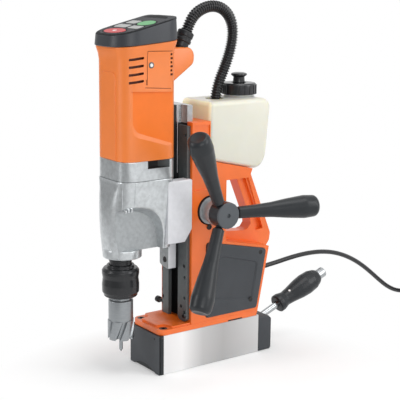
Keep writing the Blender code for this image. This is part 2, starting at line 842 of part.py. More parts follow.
def build_stand():
    half = STAND_HALF
    low = BASE_LOW + BASE_THICK / 2
    body_top = BASE_TOP + BODY_RISE
    outline = [
        (GUIDE_FRONT, low),
        (BODY_REAR, low),
        (BODY_REAR + BODY_LEAN, body_top),
        (COLUMN_REAR, body_top + BODY_DROP),
        (COLUMN_REAR, SHELF_LOW),
        (SHELF_REAR - 0.006, SHELF_LOW),
        (SHELF_REAR, SHELF_LOW + SHELF_REAR_THICK),
        (COLUMN_TOP_REAR, SHELF_LOW + SHELF_FRONT_THICK),
        (COLUMN_TOP_REAR, COLUMN_TOP),
        (GUIDE_FRONT, COLUMN_TOP),
    ]
    stand = prism("stand_casting", "orange", outline, "x", -half, half)
    corner = BASE_CORNER
    plan = rectangle(-FOOT_WIDTH / 2, FOOT_WIDTH / 2, FOOT_FRONT, FOOT_REAR, corner)
    plate = prism("base_plate", None, plan, "z", BASE_LOW, BASE_TOP)
    strut = prism("handle_strut", None, strut_outline(), "x", -STRUT_HALF, STRUT_HALF)
    fuse(stand, plate, strut)
    channel_low = BASE_TOP + RUN
    rack_back = RACK_PITCH_Y + ADDENDUM * FEED_MODULE + RUN
    channel = box(
        "flange_channel",
        None,
        (-FLANGE_HALF - RUN, GUIDE_FRONT - PAST, channel_low),
        (FLANGE_HALF + RUN, FLANGE_REAR + RUN, COLUMN_TOP + PAST),
    )
    rack_way = box(
        "rack_way",
        None,
        (-RACK_HALF - RUN, GUIDE_FRONT - PAST, channel_low),
        (RACK_HALF + RUN, rack_back, COLUMN_TOP + PAST),
    )
    at = (0, PINION_Y, PINION_Z)
    pinion_tip = FEED_RADIUS + ADDENDUM * FEED_MODULE
    bore = rod("pinion_bore", None, pinion_tip + RUN, -PINION_HALF - RUN, half + PAST, at, (1, 0, 0), 20)
    seat = rod("disc_seat", None, DISC_RADIUS + REST, DISC_INNER, half + PAST, at, (1, 0, 0), 24)
    journal = rod("journal_bore", None, JOURNAL_RADIUS + REST, -JOURNAL_END - REST, 0, at, (1, 0, 0), 16)
    cover_seat = prism(
        "cover_seat", None, side_cover_outline(-REST), "x", half - SIDE_COVER_SEAT - REST, half + PAST
    )
    board_bay = prism(
        "board_bay", None, side_cover_outline(BAY_INSET), "x", BAY_FLOOR, half - SIDE_COVER_SEAT + RUN
    )
    socket_at = (0, HOSE_WELL_Y, SHELF_LOW)
    socket = rod("socket_seat", None, HOSE_SOCKET_RADIUS + REST, 0.005, 0.060, socket_at, steps=16)
    gland_at, gland_along = gland_place()
    gland = rod("gland_seat", None, GLAND_RADIUS + REST, -GLAND_SINK - REST, 0.030, gland_at, gland_along, 16)
    cut(stand, channel, rack_way, bore, seat, journal, cover_seat, board_bay, socket, gland)
    for side, name in ((1, "right"), (-1, "left")):
        bolt_at = (side * BOLT_SIDE, FOOT_FRONT + BOLT_BACK, BASE_TOP)
        head = BOLT_HEAD + REST
        profile = [
            (0, -BASE_THICK - PAST),
            (BOLT_RADIUS + REST, -BASE_THICK - PAST),
            (BOLT_RADIUS + REST, -head),
            (BOLT_HEAD_RADIUS + REST, -head),
            (BOLT_HEAD_RADIUS + REST, PAST),
            (0, PAST),
        ]
        cut(stand, lathe(f"base_recess_{name}", None, profile, bolt_at, steps=16))
        groove = side * STRUT_HALF
        low_in = STRUT_TOP_BACK + STRUT_LEAN * 0.92 + 0.008
        high_in = STRUT_TOP_BACK + 0.016
        low_z = BASE_TOP + STRUT_FOOT_RISE + 0.010
        outline = [
            (low_in, low_z),
            (low_in + 0.010, low_z),
            (high_in + 0.010, SHELF_LOW - 0.006),
            (high_in, SHELF_LOW - 0.006),
        ]
        reach = sorted((groove - side * STRUT_GROOVE, groove + side * PAST))
        cut(stand, prism(f"strut_groove_{name}", None, outline, "x", reach[0], reach[1]))


def build_base_bolts():
    for side, name in ((1, "right"), (-1, "left")):
        at = (side * BOLT_SIDE, FOOT_FRONT + BOLT_BACK, BASE_TOP)
        low = FOOT_TOP - BOLT_GRIP - BASE_TOP
        socket = BOLT_HEAD_RADIUS * 0.5
        profile = [
            (0, low),
            (BOLT_RADIUS, low),
            (BOLT_RADIUS, -BOLT_HEAD),
            (BOLT_HEAD_RADIUS, -BOLT_HEAD),
            (BOLT_HEAD_RADIUS, 0),
            (socket, 0),
            (socket, -BOLT_HEAD * 0.6),
            (0, -BOLT_HEAD * 0.6),
        ]
        lathe(f"base_bolt_{name}", "dark_steel", profile, at, steps=12)


def build_gibs():
    low = BASE_TOP + GIB_RISE
    high = COLUMN_TOP - GIB_SHORT
    for side, name in ((1, "right"), (-1, "left")):
        reach = sorted((side * GIB_INNER, side * GIB_OUTER))
        corner = 0.006
        outline = [(reach[0], low), (reach[1], low), (reach[1], high), (reach[0], high)]
        outer = 1 if side > 0 else 0
        outline[outer] = (*outline[outer], corner)
        gib = prism(f"gib_{name}", "dark_steel", rounded(outline, 4), "y", GIB_FRONT, GIB_FRONT + GIB_THICK)
        middle = side * (FLANGE_HALF + GIB_OUTER) / 2
        for number, rise in enumerate((0.016, 0.040, 0.075, 0.310)):
            at = (middle, GIB_FRONT, low + rise)
            cut(gib, rod(f"gib_hole_{name}_{number}", None, GIB_HOLE, -PAST, 0.003, at, (0, 1, 0), 10))
        if side < 0:
            at = (reach[0], GIB_FRONT + GIB_THICK / 2, BASE_TOP + KNOB_RISE)
            cut(gib, rod("stud_hole", None, KNOB_STUD + REST, -PAST, KNOB_STUD_IN + REST, at, (1, 0, 0), 14))


def build_lock_knob():
    at = (-GIB_OUTER, GIB_FRONT + GIB_THICK / 2, BASE_TOP + KNOB_RISE)
    back = STAND_HALF - GIB_OUTER + RUN
    profile = [
        (0, -KNOB_STUD_IN),
        (KNOB_STUD, -KNOB_STUD_IN),
        (KNOB_STUD, REST),
        (KNOB_NECK, REST),
        (KNOB_NECK, back),
        (KNOB_RADIUS, back + 0.001),
        (KNOB_RADIUS, back + KNOB_THICK),
        (KNOB_RADIUS - 0.002, back + KNOB_THICK + 0.001),
        (0, back + KNOB_THICK + 0.001),
    ]
    lathe("guide_lock_knob", "dark_plastic", profile, at, (-1, 0, 0), 14)


def build_side_cover():
    seat = STAND_HALF - SIDE_COVER_SEAT
    outer = STAND_HALF + SIDE_COVER_PROUD
    cover = prism("side_cover", "grey_plastic", side_cover_outline(0), "x", seat, outer)
    panel = prism(
        "cover_panel", None, side_cover_outline(PANEL_INSET), "x", outer - PAST / 2, outer + PANEL_PROUD
    )
    fuse(cover, panel)


def build_board():
    front = SIDE_COVER_FRONT + BAY_INSET + 0.006
    low = BASE_TOP + SIDE_COVER_MARGIN + BAY_INSET + 0.006
    face = BAY_FLOOR + REST + BOARD_THICK
    board = box(
        "control_board",
        "board",
        (BAY_FLOOR + REST, front, low),
        (face, front + BOARD_LENGTH, low + BOARD_HEIGHT),
    )
    chips = ((0.006, 0.006, 0.014), (0.026, 0.008, 0.010), (0.036, 0.026, 0.016))
    for number, (y, z, side) in enumerate(chips):
        chip = box(
            f"board_chip_{number}",
            None,
            (face - BOARD_THICK / 2, front + y, low + z),
            (face + BOARD_CHIP, front + y + side, low + z + side),
        )
        fuse(board, chip)


# Feed


def build_carriage():
    low = CARRIAGE_LOW
    high = CARRIAGE_TOP
    flange_front = GUIDE_FRONT + REST
    plan = rounded(
        [
            (-NECK_HALF, NECK_FRONT, 0.002),
            (NECK_HALF, NECK_FRONT, 0.002),
            (NECK_HALF, flange_front),
            (FLANGE_HALF, flange_front),
            (FLANGE_HALF, FLANGE_REAR),
            (-FLANGE_HALF, FLANGE_REAR),
            (-FLANGE_HALF, flange_front),
            (-NECK_HALF, flange_front),
        ],
        2,
    )
    bar = prism("carriage_bar", "aluminium", plan, "z", low, high)
    teeth = rack_teeth(low + RACK_LOW, low + RACK_HIGH, RACK_PITCH_Y, PINION_Z, FEED_MODULE, 1)
    foot = teeth[0][1]
    outline = [(FLANGE_REAR - PAST, low + RACK_LOW)]
    outline += [(foot, low + RACK_LOW)] + [(across, along) for along, across in teeth]
    outline += [(foot, low + RACK_HIGH), (FLANGE_REAR - PAST, low + RACK_HIGH)]
    fuse(bar, prism("feed_rack", None, outline, "x", -RACK_HALF, RACK_HALF))
    hole_at = (0, NECK_FRONT, low + 0.012)
    cut(bar, rod("carriage_hole", None, 0.0035, -PAST, 0.012, hole_at, (0, 1, 0), 10))


def build_feed_bearing():
    at = (0, PINION_Y, PINION_Z)
    spigot = FEED_RADIUS + ADDENDUM * FEED_MODULE + RUN - REST
    face = STAND_HALF + DISC_PROUD
    profile = [
        (SHAFT_RADIUS + REST, PINION_HALF + RUN),
        (spigot, PINION_HALF + RUN),
        (spigot, DISC_INNER + REST),
        (DISC_RADIUS, DISC_INNER + REST),
        (DISC_RADIUS, face - 0.001),
        (DISC_RADIUS - 0.001, face),
        (SHAFT_RADIUS + REST, face),
    ]
    lathe("feed_bearing", "steel", profile, at, (1, 0, 0), 24)


def handle_along(number):
    turn = HANDLE_FIRST + math.tau * number / HANDLE_COUNT
    outward = math.cos(HANDLE_SPLAY)
    return Vector((math.sin(HANDLE_SPLAY), outward * math.cos(turn), outward * math.sin(turn)))


def build_capstan():
    at = Vector((0, PINION_Y, PINION_Z))
    group = body_group("capstan_axis", at)
    disc_low = HUB_FACE - HUB_DISC_THICK
    outline = gear_outline((PINION_Y, PINION_Z), FEED_TEETH, FEED_MODULE, math.pi)
    shaft = prism("pinion_shaft", "steel", outline, "x", -PINION_HALF, PINION_HALF, at)
    long_part = rod("pinion_rod", None, SHAFT_RADIUS, 0, disc_low - REST, at, (1, 0, 0), 14)
    journal = rod("pinion_journal", None, JOURNAL_RADIUS, -JOURNAL_END, 0, at, (1, 0, 0), 12)
    fuse(shaft, long_part, journal)
    back = max(HUB_BACK, STAND_HALF + DISC_PROUD + REST)
    neck = HUB_RADIUS - 0.004
    profile = [
        (SHAFT_RADIUS + REST, STAND_HALF + DISC_PROUD + REST),
        (neck, STAND_HALF + DISC_PROUD + REST),
        (neck, back),
        (HUB_RADIUS, back + 0.004),
        (HUB_RADIUS, disc_low - REST),
        (SHAFT_RADIUS + REST, disc_low - REST),
    ]
    hub = lathe("capstan_hub", "dark_plastic", profile, at, (1, 0, 0), 20)
    face = [
        (0, disc_low),
        (HUB_RADIUS, disc_low),
        (HUB_RADIUS, HUB_FACE - 0.001),
        (HUB_RADIUS - 0.001, HUB_FACE),
        (0.0035, HUB_FACE),
        (0.0035, HUB_FACE - 0.003),
        (0, HUB_FACE - 0.003),
    ]
    disc = lathe("hub_disc", "grey_plastic", face, at, (1, 0, 0), 20)
    carry(group, shaft, hub, disc)
    cross = at + Vector((HUB_FACE - HANDLE_CROSS, 0, 0))
    length = HANDLE_REACH / math.cos(HANDLE_SPLAY)
    for number in range(HANDLE_COUNT):
        along = handle_along(number)
        pin = HANDLE_PIN + REST
        cut(hub, rod(f"handle_socket_{number}", None, pin, HANDLE_ROOT - REST, 0.04, cross, along, 16))
        profile = [
            (0, HANDLE_ROOT),
            (HANDLE_PIN, HANDLE_ROOT),
            (HANDLE_PIN, 0.024),
            (HANDLE_STEM, 0.028),
            (HANDLE_STEM + 0.0006, 0.055),
            (HANDLE_STEM + 0.0026, 0.085),
            (HANDLE_BELLY - 0.0025, 0.112),
            (HANDLE_BELLY, length - 0.026),
            (HANDLE_BELLY - 0.003, length - 0.005),
            (HANDLE_BELLY - 0.006, length),
            (HANDLE_BELLY - 0.009, length - 0.001),
            (0, length - 0.003),
        ]
        carry(group, lathe(f"handle_{number + 1}", "dark_plastic", profile, cross, along, 16))


# Drill unit


def motor_plan(grow, steps=5):
    return rectangle(
        -MOTOR_HALF_WIDTH - grow,
        MOTOR_HALF_WIDTH + grow,
        MOTOR_Y - MOTOR_HALF_DEPTH - grow,
        MOTOR_REAR + grow,
        MOTOR_CORNER + grow,
        steps,
    )


def counter_place():
    # The countershaft stands on the far side, where the spindle and motor centre distances meet.
    fast = FAST_MODULE * (FAST_PINION_TEETH + FAST_WHEEL_TEETH) / 2
    slow = SLOW_MODULE * (SLOW_PINION_TEETH + SLOW_WHEEL_TEETH) / 2
    span = MOTOR_Y - SPINDLE_Y
    y = (span**2 + slow**2 - fast**2) / (2 * span)
    return Vector((-math.sqrt(slow**2 - y**2), SPINDLE_Y + y, 0))


def recess_outline():
    low = CLAMP_LOW - WEB_DROP - PAST
    top = POT_LOW - ARCH_DROP
    front = SPINDLE_Y - SPINDLE_CASE - PAST
    outline = [(front, low), (front, top)]
    for step in range(9):
        turn = math.pi / 2 * step / 8
        along, up = (max(0.0, share) ** ARCH_BOW for share in (math.sin(turn), math.cos(turn)))
        outline.append((ARCH_REAR - ARCH_LENGTH * (1 - along), top - ARCH_HEIGHT * (1 - up)))
    return outline + [(ARCH_REAR, low)]


def build_gear_housing():
    web_low = CLAMP_LOW - WEB_DROP
    plan = motor_plan(0)
    narrow = 1 - HOUSING_DRAFT / MOTOR_HALF_WIDTH
    loops = [[(x * narrow, y, web_low) for x, y in plan]]
    loops += [[(x, y, height) for x, y in plan] for height in (POT_LOW, POT_TOP)]
    housing = loft("gear_housing", "aluminium", loops)
    at = (0, SPINDLE_Y, BOSS_LOW)
    case = [
        (0, web_low - BOSS_LOW),
        (SPINDLE_CASE_FOOT, web_low - BOSS_LOW),
        (SPINDLE_CASE, POT_LOW - BOSS_LOW - 0.020),
        (SPINDLE_CASE, POT_LOW - BOSS_LOW - 0.004),
        (SPINDLE_CASE_TOP, POT_TOP - BOSS_LOW - 0.001),
        (0, POT_TOP - BOSS_LOW - 0.001),
    ]
    fuse(housing, lathe("spindle_case", None, case, at, steps=28))
    wide = MOTOR_HALF_WIDTH + PAST
    near = prism("near_recess", None, recess_outline(), "x", WEB_NEAR, wide)
    far = prism("far_recess", None, recess_outline(), "x", -wide, -WEB_FAR)
    cut(housing, near, far)
    boss = rod("spindle_boss", None, BOSS_RADIUS, 0, BOSS_DROP + 0.008, at, steps=28)
    clamp_rear = GUIDE_FRONT - CHEEK_SHORT
    high = CLAMP_LOW + CLAMP_HEIGHT
    outline = [
        (CLAMP_FRONT, CLAMP_LOW),
        (clamp_rear - CLAMP_CHAMFER, CLAMP_LOW),
        (clamp_rear, CLAMP_LOW + CLAMP_CHAMFER_RISE),
        (clamp_rear, high),
        (CLAMP_FRONT, high),
    ]
    clamp = prism("carriage_clamp", None, outline, "x", -CLAMP_HALF, CLAMP_HALF)
    fuse(housing, boss, clamp)
    neck_way = box(
        "neck_way",
        None,
        (-NECK_HALF - REST, NECK_FRONT - REST, web_low - PAST),
        (NECK_HALF + REST, 0, POT_TOP + PAST),
    )
    gib_way = box(
        "gib_way",
        None,
        (-GIB_OUTER - CHEEK_GAP, GIB_FRONT - CHEEK_GAP, web_low - PAST),
        (GIB_OUTER + CHEEK_GAP, 0, POT_TOP + PAST),
    )
    pot = prism("pot_cavity", None, motor_plan(-POT_WALL), "z", POT_LOW, POT_TOP + PAST)
    counter = counter_place()
    pinion_room = SLOW_MODULE * (SLOW_PINION_TEETH / 2 + ADDENDUM) + GEAR_ROOM
    reach = POT_LOW - LOWER_FLOOR + PAST
    lower_seat = LOWER_BEARING_RADIUS + REST
    upper_seat = UPPER_BEARING_RADIUS + REST
    way = SPINDLE_RADIUS + 0.004
    lower_end = BEARING_THICK + REST
    upper_start = LOWER_FLOOR - BOSS_LOW - BEARING_THICK - REST
    bore = [
        (0, -PAST),
        (lower_seat, -PAST),
        (lower_seat, lower_end),
        (way, lower_end),
        (way, upper_start),
        (upper_seat, upper_start),
        (upper_seat, POT_LOW - BOSS_LOW + PAST),
        (0, POT_LOW - BOSS_LOW + PAST),
    ]
    spindle_bore = lathe("spindle_bore", None, bore, at, steps=24)
    counter_at = (counter.x, counter.y, LOWER_FLOOR)
    pinion = rod("pinion_room", None, pinion_room, 0, reach, counter_at, steps=18)
    journal = rod("counter_bore", None, COUNTER_SHAFT + REST, -0.010 - REST, PAST, counter_at, steps=16)
    cut(housing, neck_way, gib_way, pot, pinion, journal, spindle_bore)


def build_bearings():
    low = BOSS_LOW + REST
    inner = SPINDLE_RADIUS + REST
    at = (0, SPINDLE_Y, low)
    ring("spindle_bearing_lower", "steel", inner, LOWER_BEARING_RADIUS, 0, BEARING_THICK - REST, at)
    upper = (0, SPINDLE_Y, LOWER_FLOOR - BEARING_THICK)
    ring("spindle_bearing_upper", "steel", inner, UPPER_BEARING_RADIUS, 0, BEARING_THICK, upper)
    motor = (0, MOTOR_Y, BAND_LOW)
    bore = ARMATURE_SHAFT + REST
    ring("motor_bearing", "steel", bore, BEARING_RADIUS, 0.001, BAND_PLATE - 0.001, motor, steps=16)


def build_band():
    band = prism("motor_flange", "aluminium", motor_plan(BAND_PROUD), "z", BAND_LOW, BAND_TOP)
    well = prism("fan_well", None, motor_plan(-POT_WALL), "z", BAND_LOW + BAND_PLATE, BAND_TOP + PAST)
    at = (0, MOTOR_Y, BAND_LOW)
    seat = rod("motor_bearing_seat", None, BEARING_RADIUS + REST, -PAST, BAND_PLATE + PAST, at, steps=16)
    counter = counter_place()
    counter_at = (counter.x, counter.y, BAND_LOW)
    journal = rod("counter_top_bore", None, COUNTER_SHAFT + REST, -PAST, 0.0085, counter_at, steps=16)
    window = box(
        "flange_window",
        None,
        (MOTOR_HALF_WIDTH - POT_WALL - PAST, MOTOR_Y - 0.007, BAND_LOW + BAND_PLATE + 0.003),
        (MOTOR_HALF_WIDTH + PAST, MOTOR_Y + 0.029, BAND_TOP + PAST),
    )
    cut(band, well, seat, journal, window)


def seam_plane(y):
    return MOTOR_TOP + (y - MOTOR_Y + MOTOR_HALF_DEPTH) * math.tan(SEAM_SLOPE)


def build_motor():
    loops = [[(x, y, MOTOR_LOW) for x, y in motor_plan(0)]]
    flare = ((0.0, MOTOR_FLARE_HEIGHT), (MOTOR_FLARE * 0.35, 0.012), (MOTOR_FLARE, 0.003), (MOTOR_FLARE, 0))
    for grow, level in flare:
        loops.append([(x, y, seam_plane(y) - level) for x, y in motor_plan(grow)])
    housing = loft("motor_housing", "orange", loops)
    top = MOTOR_TOP - LOBE_TOP
    rear = MOTOR_REAR + LOBE_REACH
    outline = rounded(
        [
            (MOTOR_REAR - 0.010, top),
            (rear, top + 0.001, 0.015),
            (rear - 0.002, top - 0.026, 0.012),
            (MOTOR_REAR + 0.005, top - LOBE_HEIGHT),
            (MOTOR_REAR - 0.010, top - LOBE_HEIGHT),
        ],
        4,
    )
    lobe = prism("cable_lobe", None, outline, "x", -LOBE_HALF, LOBE_HALF)
    fuse(housing, lobe)
    inside = motor_plan(-MOTOR_WALL)
    cavity = prism("motor_cavity", None, inside, "z", MOTOR_LOW - PAST, MOTOR_TOP - MOTOR_ROOF)
    at = (0, MOTOR_Y, MOTOR_TOP - MOTOR_ROOF)
    journal = rod("armature_bore", None, ARMATURE_SHAFT + REST, -PAST, 0.007, at, steps=16)
    base, along = connector_place()
    spigot = CONNECTOR_RADIUS - 0.0022
    seat = rod("connector_seat", None, spigot, -CONNECTOR_SINK - REST, 0.020, base, along, 16)
    cut(housing, cavity, journal, seat)
    for number in range(SLOT_COUNT):
        high = MOTOR_TOP - SLOT_TOP - number * SLOT_PITCH
        for side, name in ((1, "right"), (-1, "left")):
            reach = sorted((side * (MOTOR_HALF_WIDTH - 0.016), side * (MOTOR_HALF_WIDTH + PAST)))
            slot = box(
                f"vent_{name}_{number}",
                None,
                (reach[0], SLOT_FRONT, high - SLOT_HEIGHT),
                (reach[1], SLOT_FRONT + SLOT_LENGTH, high),
            )
            cut(housing, slot)


def build_stator():
    at = (0, MOTOR_Y, MOTOR_LOW + STATOR_RISE)
    outer = MOTOR_HALF_WIDTH - MOTOR_WALL - REST
    ring("stator", "copper", STATOR_BORE, outer, 0, STATOR_LENGTH, at, steps=20)


def build_armature():
    counter = counter_place()
    at = Vector((0, MOTOR_Y, 0))
    group = body_group("armature_axis", (0, MOTOR_Y, MOTOR_LOW))
    toward = math.atan2(counter.y - MOTOR_Y, counter.x)
    fast_low = POT_LOW + 0.006
    outline = gear_outline((0, MOTOR_Y), FAST_PINION_TEETH, FAST_MODULE, toward)
    origin = (0, MOTOR_Y, MOTOR_LOW)
    fast_high = fast_low + FAST_FACE + 0.001
    armature = prism("armature", "copper", outline, "z", fast_low - 0.001, fast_high, origin)
    core_low = MOTOR_LOW + STATOR_RISE
    core_high = core_low + STATOR_LENGTH
    shaft_top = MOTOR_TOP - MOTOR_ROOF + 0.0065
    profile = [
        (0, fast_low),
        (ARMATURE_SHAFT, fast_low),
        (ARMATURE_SHAFT, core_low),
        (ARMATURE_RADIUS, core_low),
        (ARMATURE_RADIUS, core_high),
        (0.012, core_high + 0.004),
        (0.012, core_high + 0.024),
        (ARMATURE_SHAFT, core_high + 0.026),
        (ARMATURE_SHAFT, shaft_top),
        (0, shaft_top),
    ]
    fuse(armature, lathe("armature_core", None, profile, at, steps=16))
    fan_low = BAND_LOW + BAND_PLATE + 0.002
    blades = []
    for blade in range(FAN_BLADES):
        centre = math.tau * blade / FAN_BLADES
        half_out = 0.0009 / (FAN_RADIUS - 0.001)
        half_in = math.pi / FAN_BLADES * 0.999
        for radius, turn in (
            (0.010, centre - half_in),
            (0.010, centre - 0.0009 / 0.010),
            (FAN_RADIUS - 0.001, centre - half_out),
            (FAN_RADIUS - 0.001, centre + half_out),
            (0.010, centre + 0.0009 / 0.010),
        ):
            blades.append((radius * math.cos(turn), MOTOR_Y + radius * math.sin(turn)))
    fan = prism("fan", "dark_plastic", blades, "z", fan_low, fan_low + 0.011, origin)
    core = rod("fan_core", None, ARMATURE_SHAFT + REST, 0, 1, at, steps=12)
    cut(fan, core)
    carry(group, armature, fan)


def build_counter_gear():
    counter = counter_place()
    group = body_group("counter_axis", (counter.x, counter.y, LOWER_FLOOR))
    from_motor = math.atan2(MOTOR_Y - counter.y, -counter.x)
    to_spindle = math.atan2(SPINDLE_Y - counter.y, -counter.x)
    fast_low = POT_LOW + 0.006
    slow_low = LOWER_FLOOR + 0.010
    middle = (counter.x, counter.y)
    wheel = gear_outline(middle, FAST_WHEEL_TEETH, FAST_MODULE, from_motor + math.pi / FAST_WHEEL_TEETH)
    origin = (counter.x, counter.y, LOWER_FLOOR)
    gear = prism("counter_gear", "steel", wheel, "z", fast_low, fast_low + FAST_FACE, origin)
    teeth = gear_outline(middle, SLOW_PINION_TEETH, SLOW_MODULE, to_spindle)
    pinion = prism("counter_pinion", None, teeth, "z", slow_low - 0.001, fast_low + 0.001)
    shaft_end = BAND_LOW + 0.008 - LOWER_FLOOR
    shaft = rod("counter_shaft", None, COUNTER_SHAFT, -0.0095, shaft_end, origin, steps=12)
    fuse(gear, pinion, shaft)
    carry(group, gear)


def build_spindle():
    counter = counter_place()
    chuck_top = BOSS_LOW - CHUCK_GAP
    group = body_group("spindle_axis", (0, SPINDLE_Y, chuck_top))
    slow_low = LOWER_FLOOR + 0.010
    from_counter = math.atan2(counter.y - SPINDLE_Y, counter.x)
    half_tooth = math.pi / SLOW_WHEEL_TEETH
    wheel = gear_outline((0, SPINDLE_Y), SLOW_WHEEL_TEETH, SLOW_MODULE, from_counter + half_tooth)
    origin = (0, SPINDLE_Y, chuck_top)
    spindle = prism("spindle", "steel", wheel, "z", slow_low, slow_low + SLOW_FACE, origin)
    top = slow_low + SLOW_FACE + 0.004
    shoulder = SPINDLE_RADIUS + 0.003
    profile = [
        (PILOT_RADIUS + RUN, -SPINDLE_NOSE),
        (SPINDLE_RADIUS, -SPINDLE_NOSE),
        (SPINDLE_RADIUS, LOWER_FLOOR + REST - chuck_top),
        (shoulder, LOWER_FLOOR + REST - chuck_top),
        (shoulder, top - chuck_top),
        (PILOT_RADIUS + RUN, top - chuck_top),
    ]
    core = rod("spindle_core", None, SPINDLE_RADIUS - 0.002, 0, 0.1, (0, SPINDLE_Y, slow_low - 0.03))
    shaft = lathe("spindle_shaft", None, profile, origin, steps=18)
    cut(spindle, core)
    fuse(spindle, shaft)
    collar_low = -CHUCK_COLLAR
    foot = -CHUCK_LENGTH
    nose = -SPINDLE_NOSE - REST
    body = [
        (SPINDLE_RADIUS + REST, 0),
        (SPINDLE_RADIUS + REST, nose),
        (PILOT_RADIUS + RUN, nose),
        (PILOT_RADIUS + RUN, foot + SHANK_LENGTH + REST),
        (SHANK_RADIUS + REST, foot + SHANK_LENGTH + REST),
        (SHANK_RADIUS + REST, foot),
        (CHUCK_RADIUS, foot),
        (CHUCK_RADIUS, collar_low),
        (CHUCK_COLLAR_RADIUS, collar_low),
        (CHUCK_COLLAR_RADIUS, 0),
    ]
    chuck = lathe("chuck_body", "dark_plastic", body, origin, steps=18)
    sleeve_top = collar_low - SLEEVE_TRAVEL - RUN
    sleeve_low = sleeve_top - SLEEVE_LENGTH
    ring_low = sleeve_top - SLEEVE_RING
    skirt = [
        (CHUCK_RADIUS + REST, sleeve_low),
        (SLEEVE_FOOT_RADIUS, sleeve_low),
        (SLEEVE_FOOT_RADIUS + 0.0005, sleeve_low + 0.004),
        (SLEEVE_BULGE, sleeve_low + 0.009),
        (SLEEVE_BULGE, sleeve_low + 0.020),
        (SLEEVE_WAIST, sleeve_low + 0.031),
        (SLEEVE_TOP_RADIUS, ring_low - 0.0095),
        (SLEEVE_TOP_RADIUS, ring_low - 0.004),
        (SLEEVE_TOP_RADIUS - 0.003, ring_low),
        (SLEEVE_RING_RADIUS, ring_low),
        (SLEEVE_RING_RADIUS, sleeve_top),
        (CHUCK_RADIUS + REST, sleeve_top),
    ]
    sleeve = lathe("chuck_sleeve", "dark_plastic", skirt, origin, steps=20)
    cutter_top = min(foot, sleeve_low) - REST
    cutter_low = cutter_top - CUTTER_LENGTH
    hollow = CUTTER_RADIUS - CUTTER_WALL
    cutter_form = [
        (PILOT_RADIUS + REST, cutter_top - CUTTER_ROOF),
        (hollow, cutter_top - CUTTER_ROOF),
        (hollow, cutter_low),
        (CUTTER_RADIUS, cutter_low),
        (CUTTER_RADIUS, cutter_top),
        (SHANK_RADIUS, cutter_top),
        (SHANK_RADIUS, foot + SHANK_LENGTH),
        (PILOT_RADIUS + REST, foot + SHANK_LENGTH),
    ]
    cutter = lathe("core_cutter", "steel", cutter_form, origin, steps=20)
    for bar in range(3):
        turn = math.pi * bar / 3
        across = Vector((math.cos(turn), math.sin(turn), 0))
        side = Vector((-across.y, across.x, 0)) * CUTTER_GULLET / 2
        reach = across * (CUTTER_RADIUS + PAST)
        middle = Vector((0, SPINDLE_Y, 0))
        outline = [middle - reach - side, middle + reach - side, middle + reach + side, middle - reach + side]
        gullet_low = chuck_top + cutter_low
        tool = prism(
            f"gullet_{bar}",
            None,
            [(point.x, point.y) for point in outline],
            "z",
            gullet_low - PAST,
            gullet_low + CUTTER_GULLET,
        )
        cut(cutter, tool)
    pin_low = cutter_low - PILOT_SHOWN
    pin_top = nose + 0.004
    pin = [(0, pin_low), (PILOT_RADIUS, pin_low + 0.005), (PILOT_RADIUS, pin_top), (0, pin_top)]
    pilot = lathe("pilot_pin", "steel", pin, origin, steps=10)
    carry(group, spindle, chuck, sleeve, cutter, pilot)


# Control head


def head_plane(y):
    return HEAD_LOW + HEAD_FRONT_HEIGHT + (y - HEAD_FRONT) * math.tan(HEAD_SLOPE)


def head_plan(inset):
    half = MOTOR_HALF_WIDTH + HEAD_PROUD - inset
    front = HEAD_FRONT + inset
    rear = MOTOR_REAR + HEAD_PROUD - inset
    front_corner = HEAD_FRONT_CORNER - inset
    rear_corner = HEAD_REAR_CORNER - inset
    corners = [(-half, front, front_corner), (half, front, front_corner)]
    return rounded(corners + [(half, rear, rear_corner), (-half, rear, rear_corner)], 5)


def build_head():
    half = MOTOR_HALF_WIDTH + HEAD_PROUD + PAST
    front = HEAD_FRONT - PAST
    rear = MOTOR_REAR + HEAD_PROUD + PAST
    high = head_plane(rear) + 0.010
    low = HEAD_LOW - 0.010
    head = prism("control_head", "grey_plastic", head_plan(0), "z", low + PAST, high - PAST)
    above = [(front, head_plane(front)), (rear, head_plane(rear)), (rear, high), (front, high)]
    below = [(front, low), (rear, low), (rear, seam_plane(rear) + REST), (front, seam_plane(front) + REST)]
    slope = prism("head_slope", None, above, "x", -half, half)
    seam = prism("head_seam", None, below, "x", -half, half)
    pocket = prism("head_pocket", None, head_plan(HEAD_WALL), "z", low, HEAD_LOW + HEAD_POCKET)
    seat = pad_prism("pad_seat", None, pad_outline(-REST), -PAD_SEAT, PAST)
    cut(head, slope, seam, pocket, seat)


def pad_prism(name, finish, outline, low, high):
    made = prism(name, finish, outline, "z", low, high)
    y = HEAD_FRONT + PAD_BACK
    made.location = (0, y, head_plane(y))
    made.rotation_euler = (HEAD_SLOPE, 0, 0)
    return made


def pad_outline(inset):
    half = PAD_HALF - inset
    end = PAD_LENGTH / 2 - inset
    corner = PAD_FRONT_CORNER - inset
    return rounded([(-half, -end, corner), (half, -end, corner), (half, end, 0.012), (-half, end, 0.012)], 5)


def oval(x, y, half_x, half_y, count=16):
    turns = [math.tau * step / count for step in range(count)]
    return [(x + half_x * math.cos(turn), y + half_y * math.sin(turn)) for turn in turns]


def key_outlines():
    return {
        "stop_key": ("red", oval(0.0, -0.0375, 0.029, 0.0125, 20)),
        "start_key": ("green", oval(0.0185, 0.0095, 0.0205, 0.0135, 20)),
        "slower_key": ("keypad_grey", rectangle(-0.035, 0.002, -0.0205, -0.0045, 0.003, 2)),
        "faster_key": ("keypad_grey", rectangle(0.0075, 0.039, -0.0215, -0.0065, 0.003, 2)),
        "magnet_key": ("keypad_grey", rectangle(-0.0335, -0.0035, 0.0015, 0.0175, 0.003, 2)),
    }


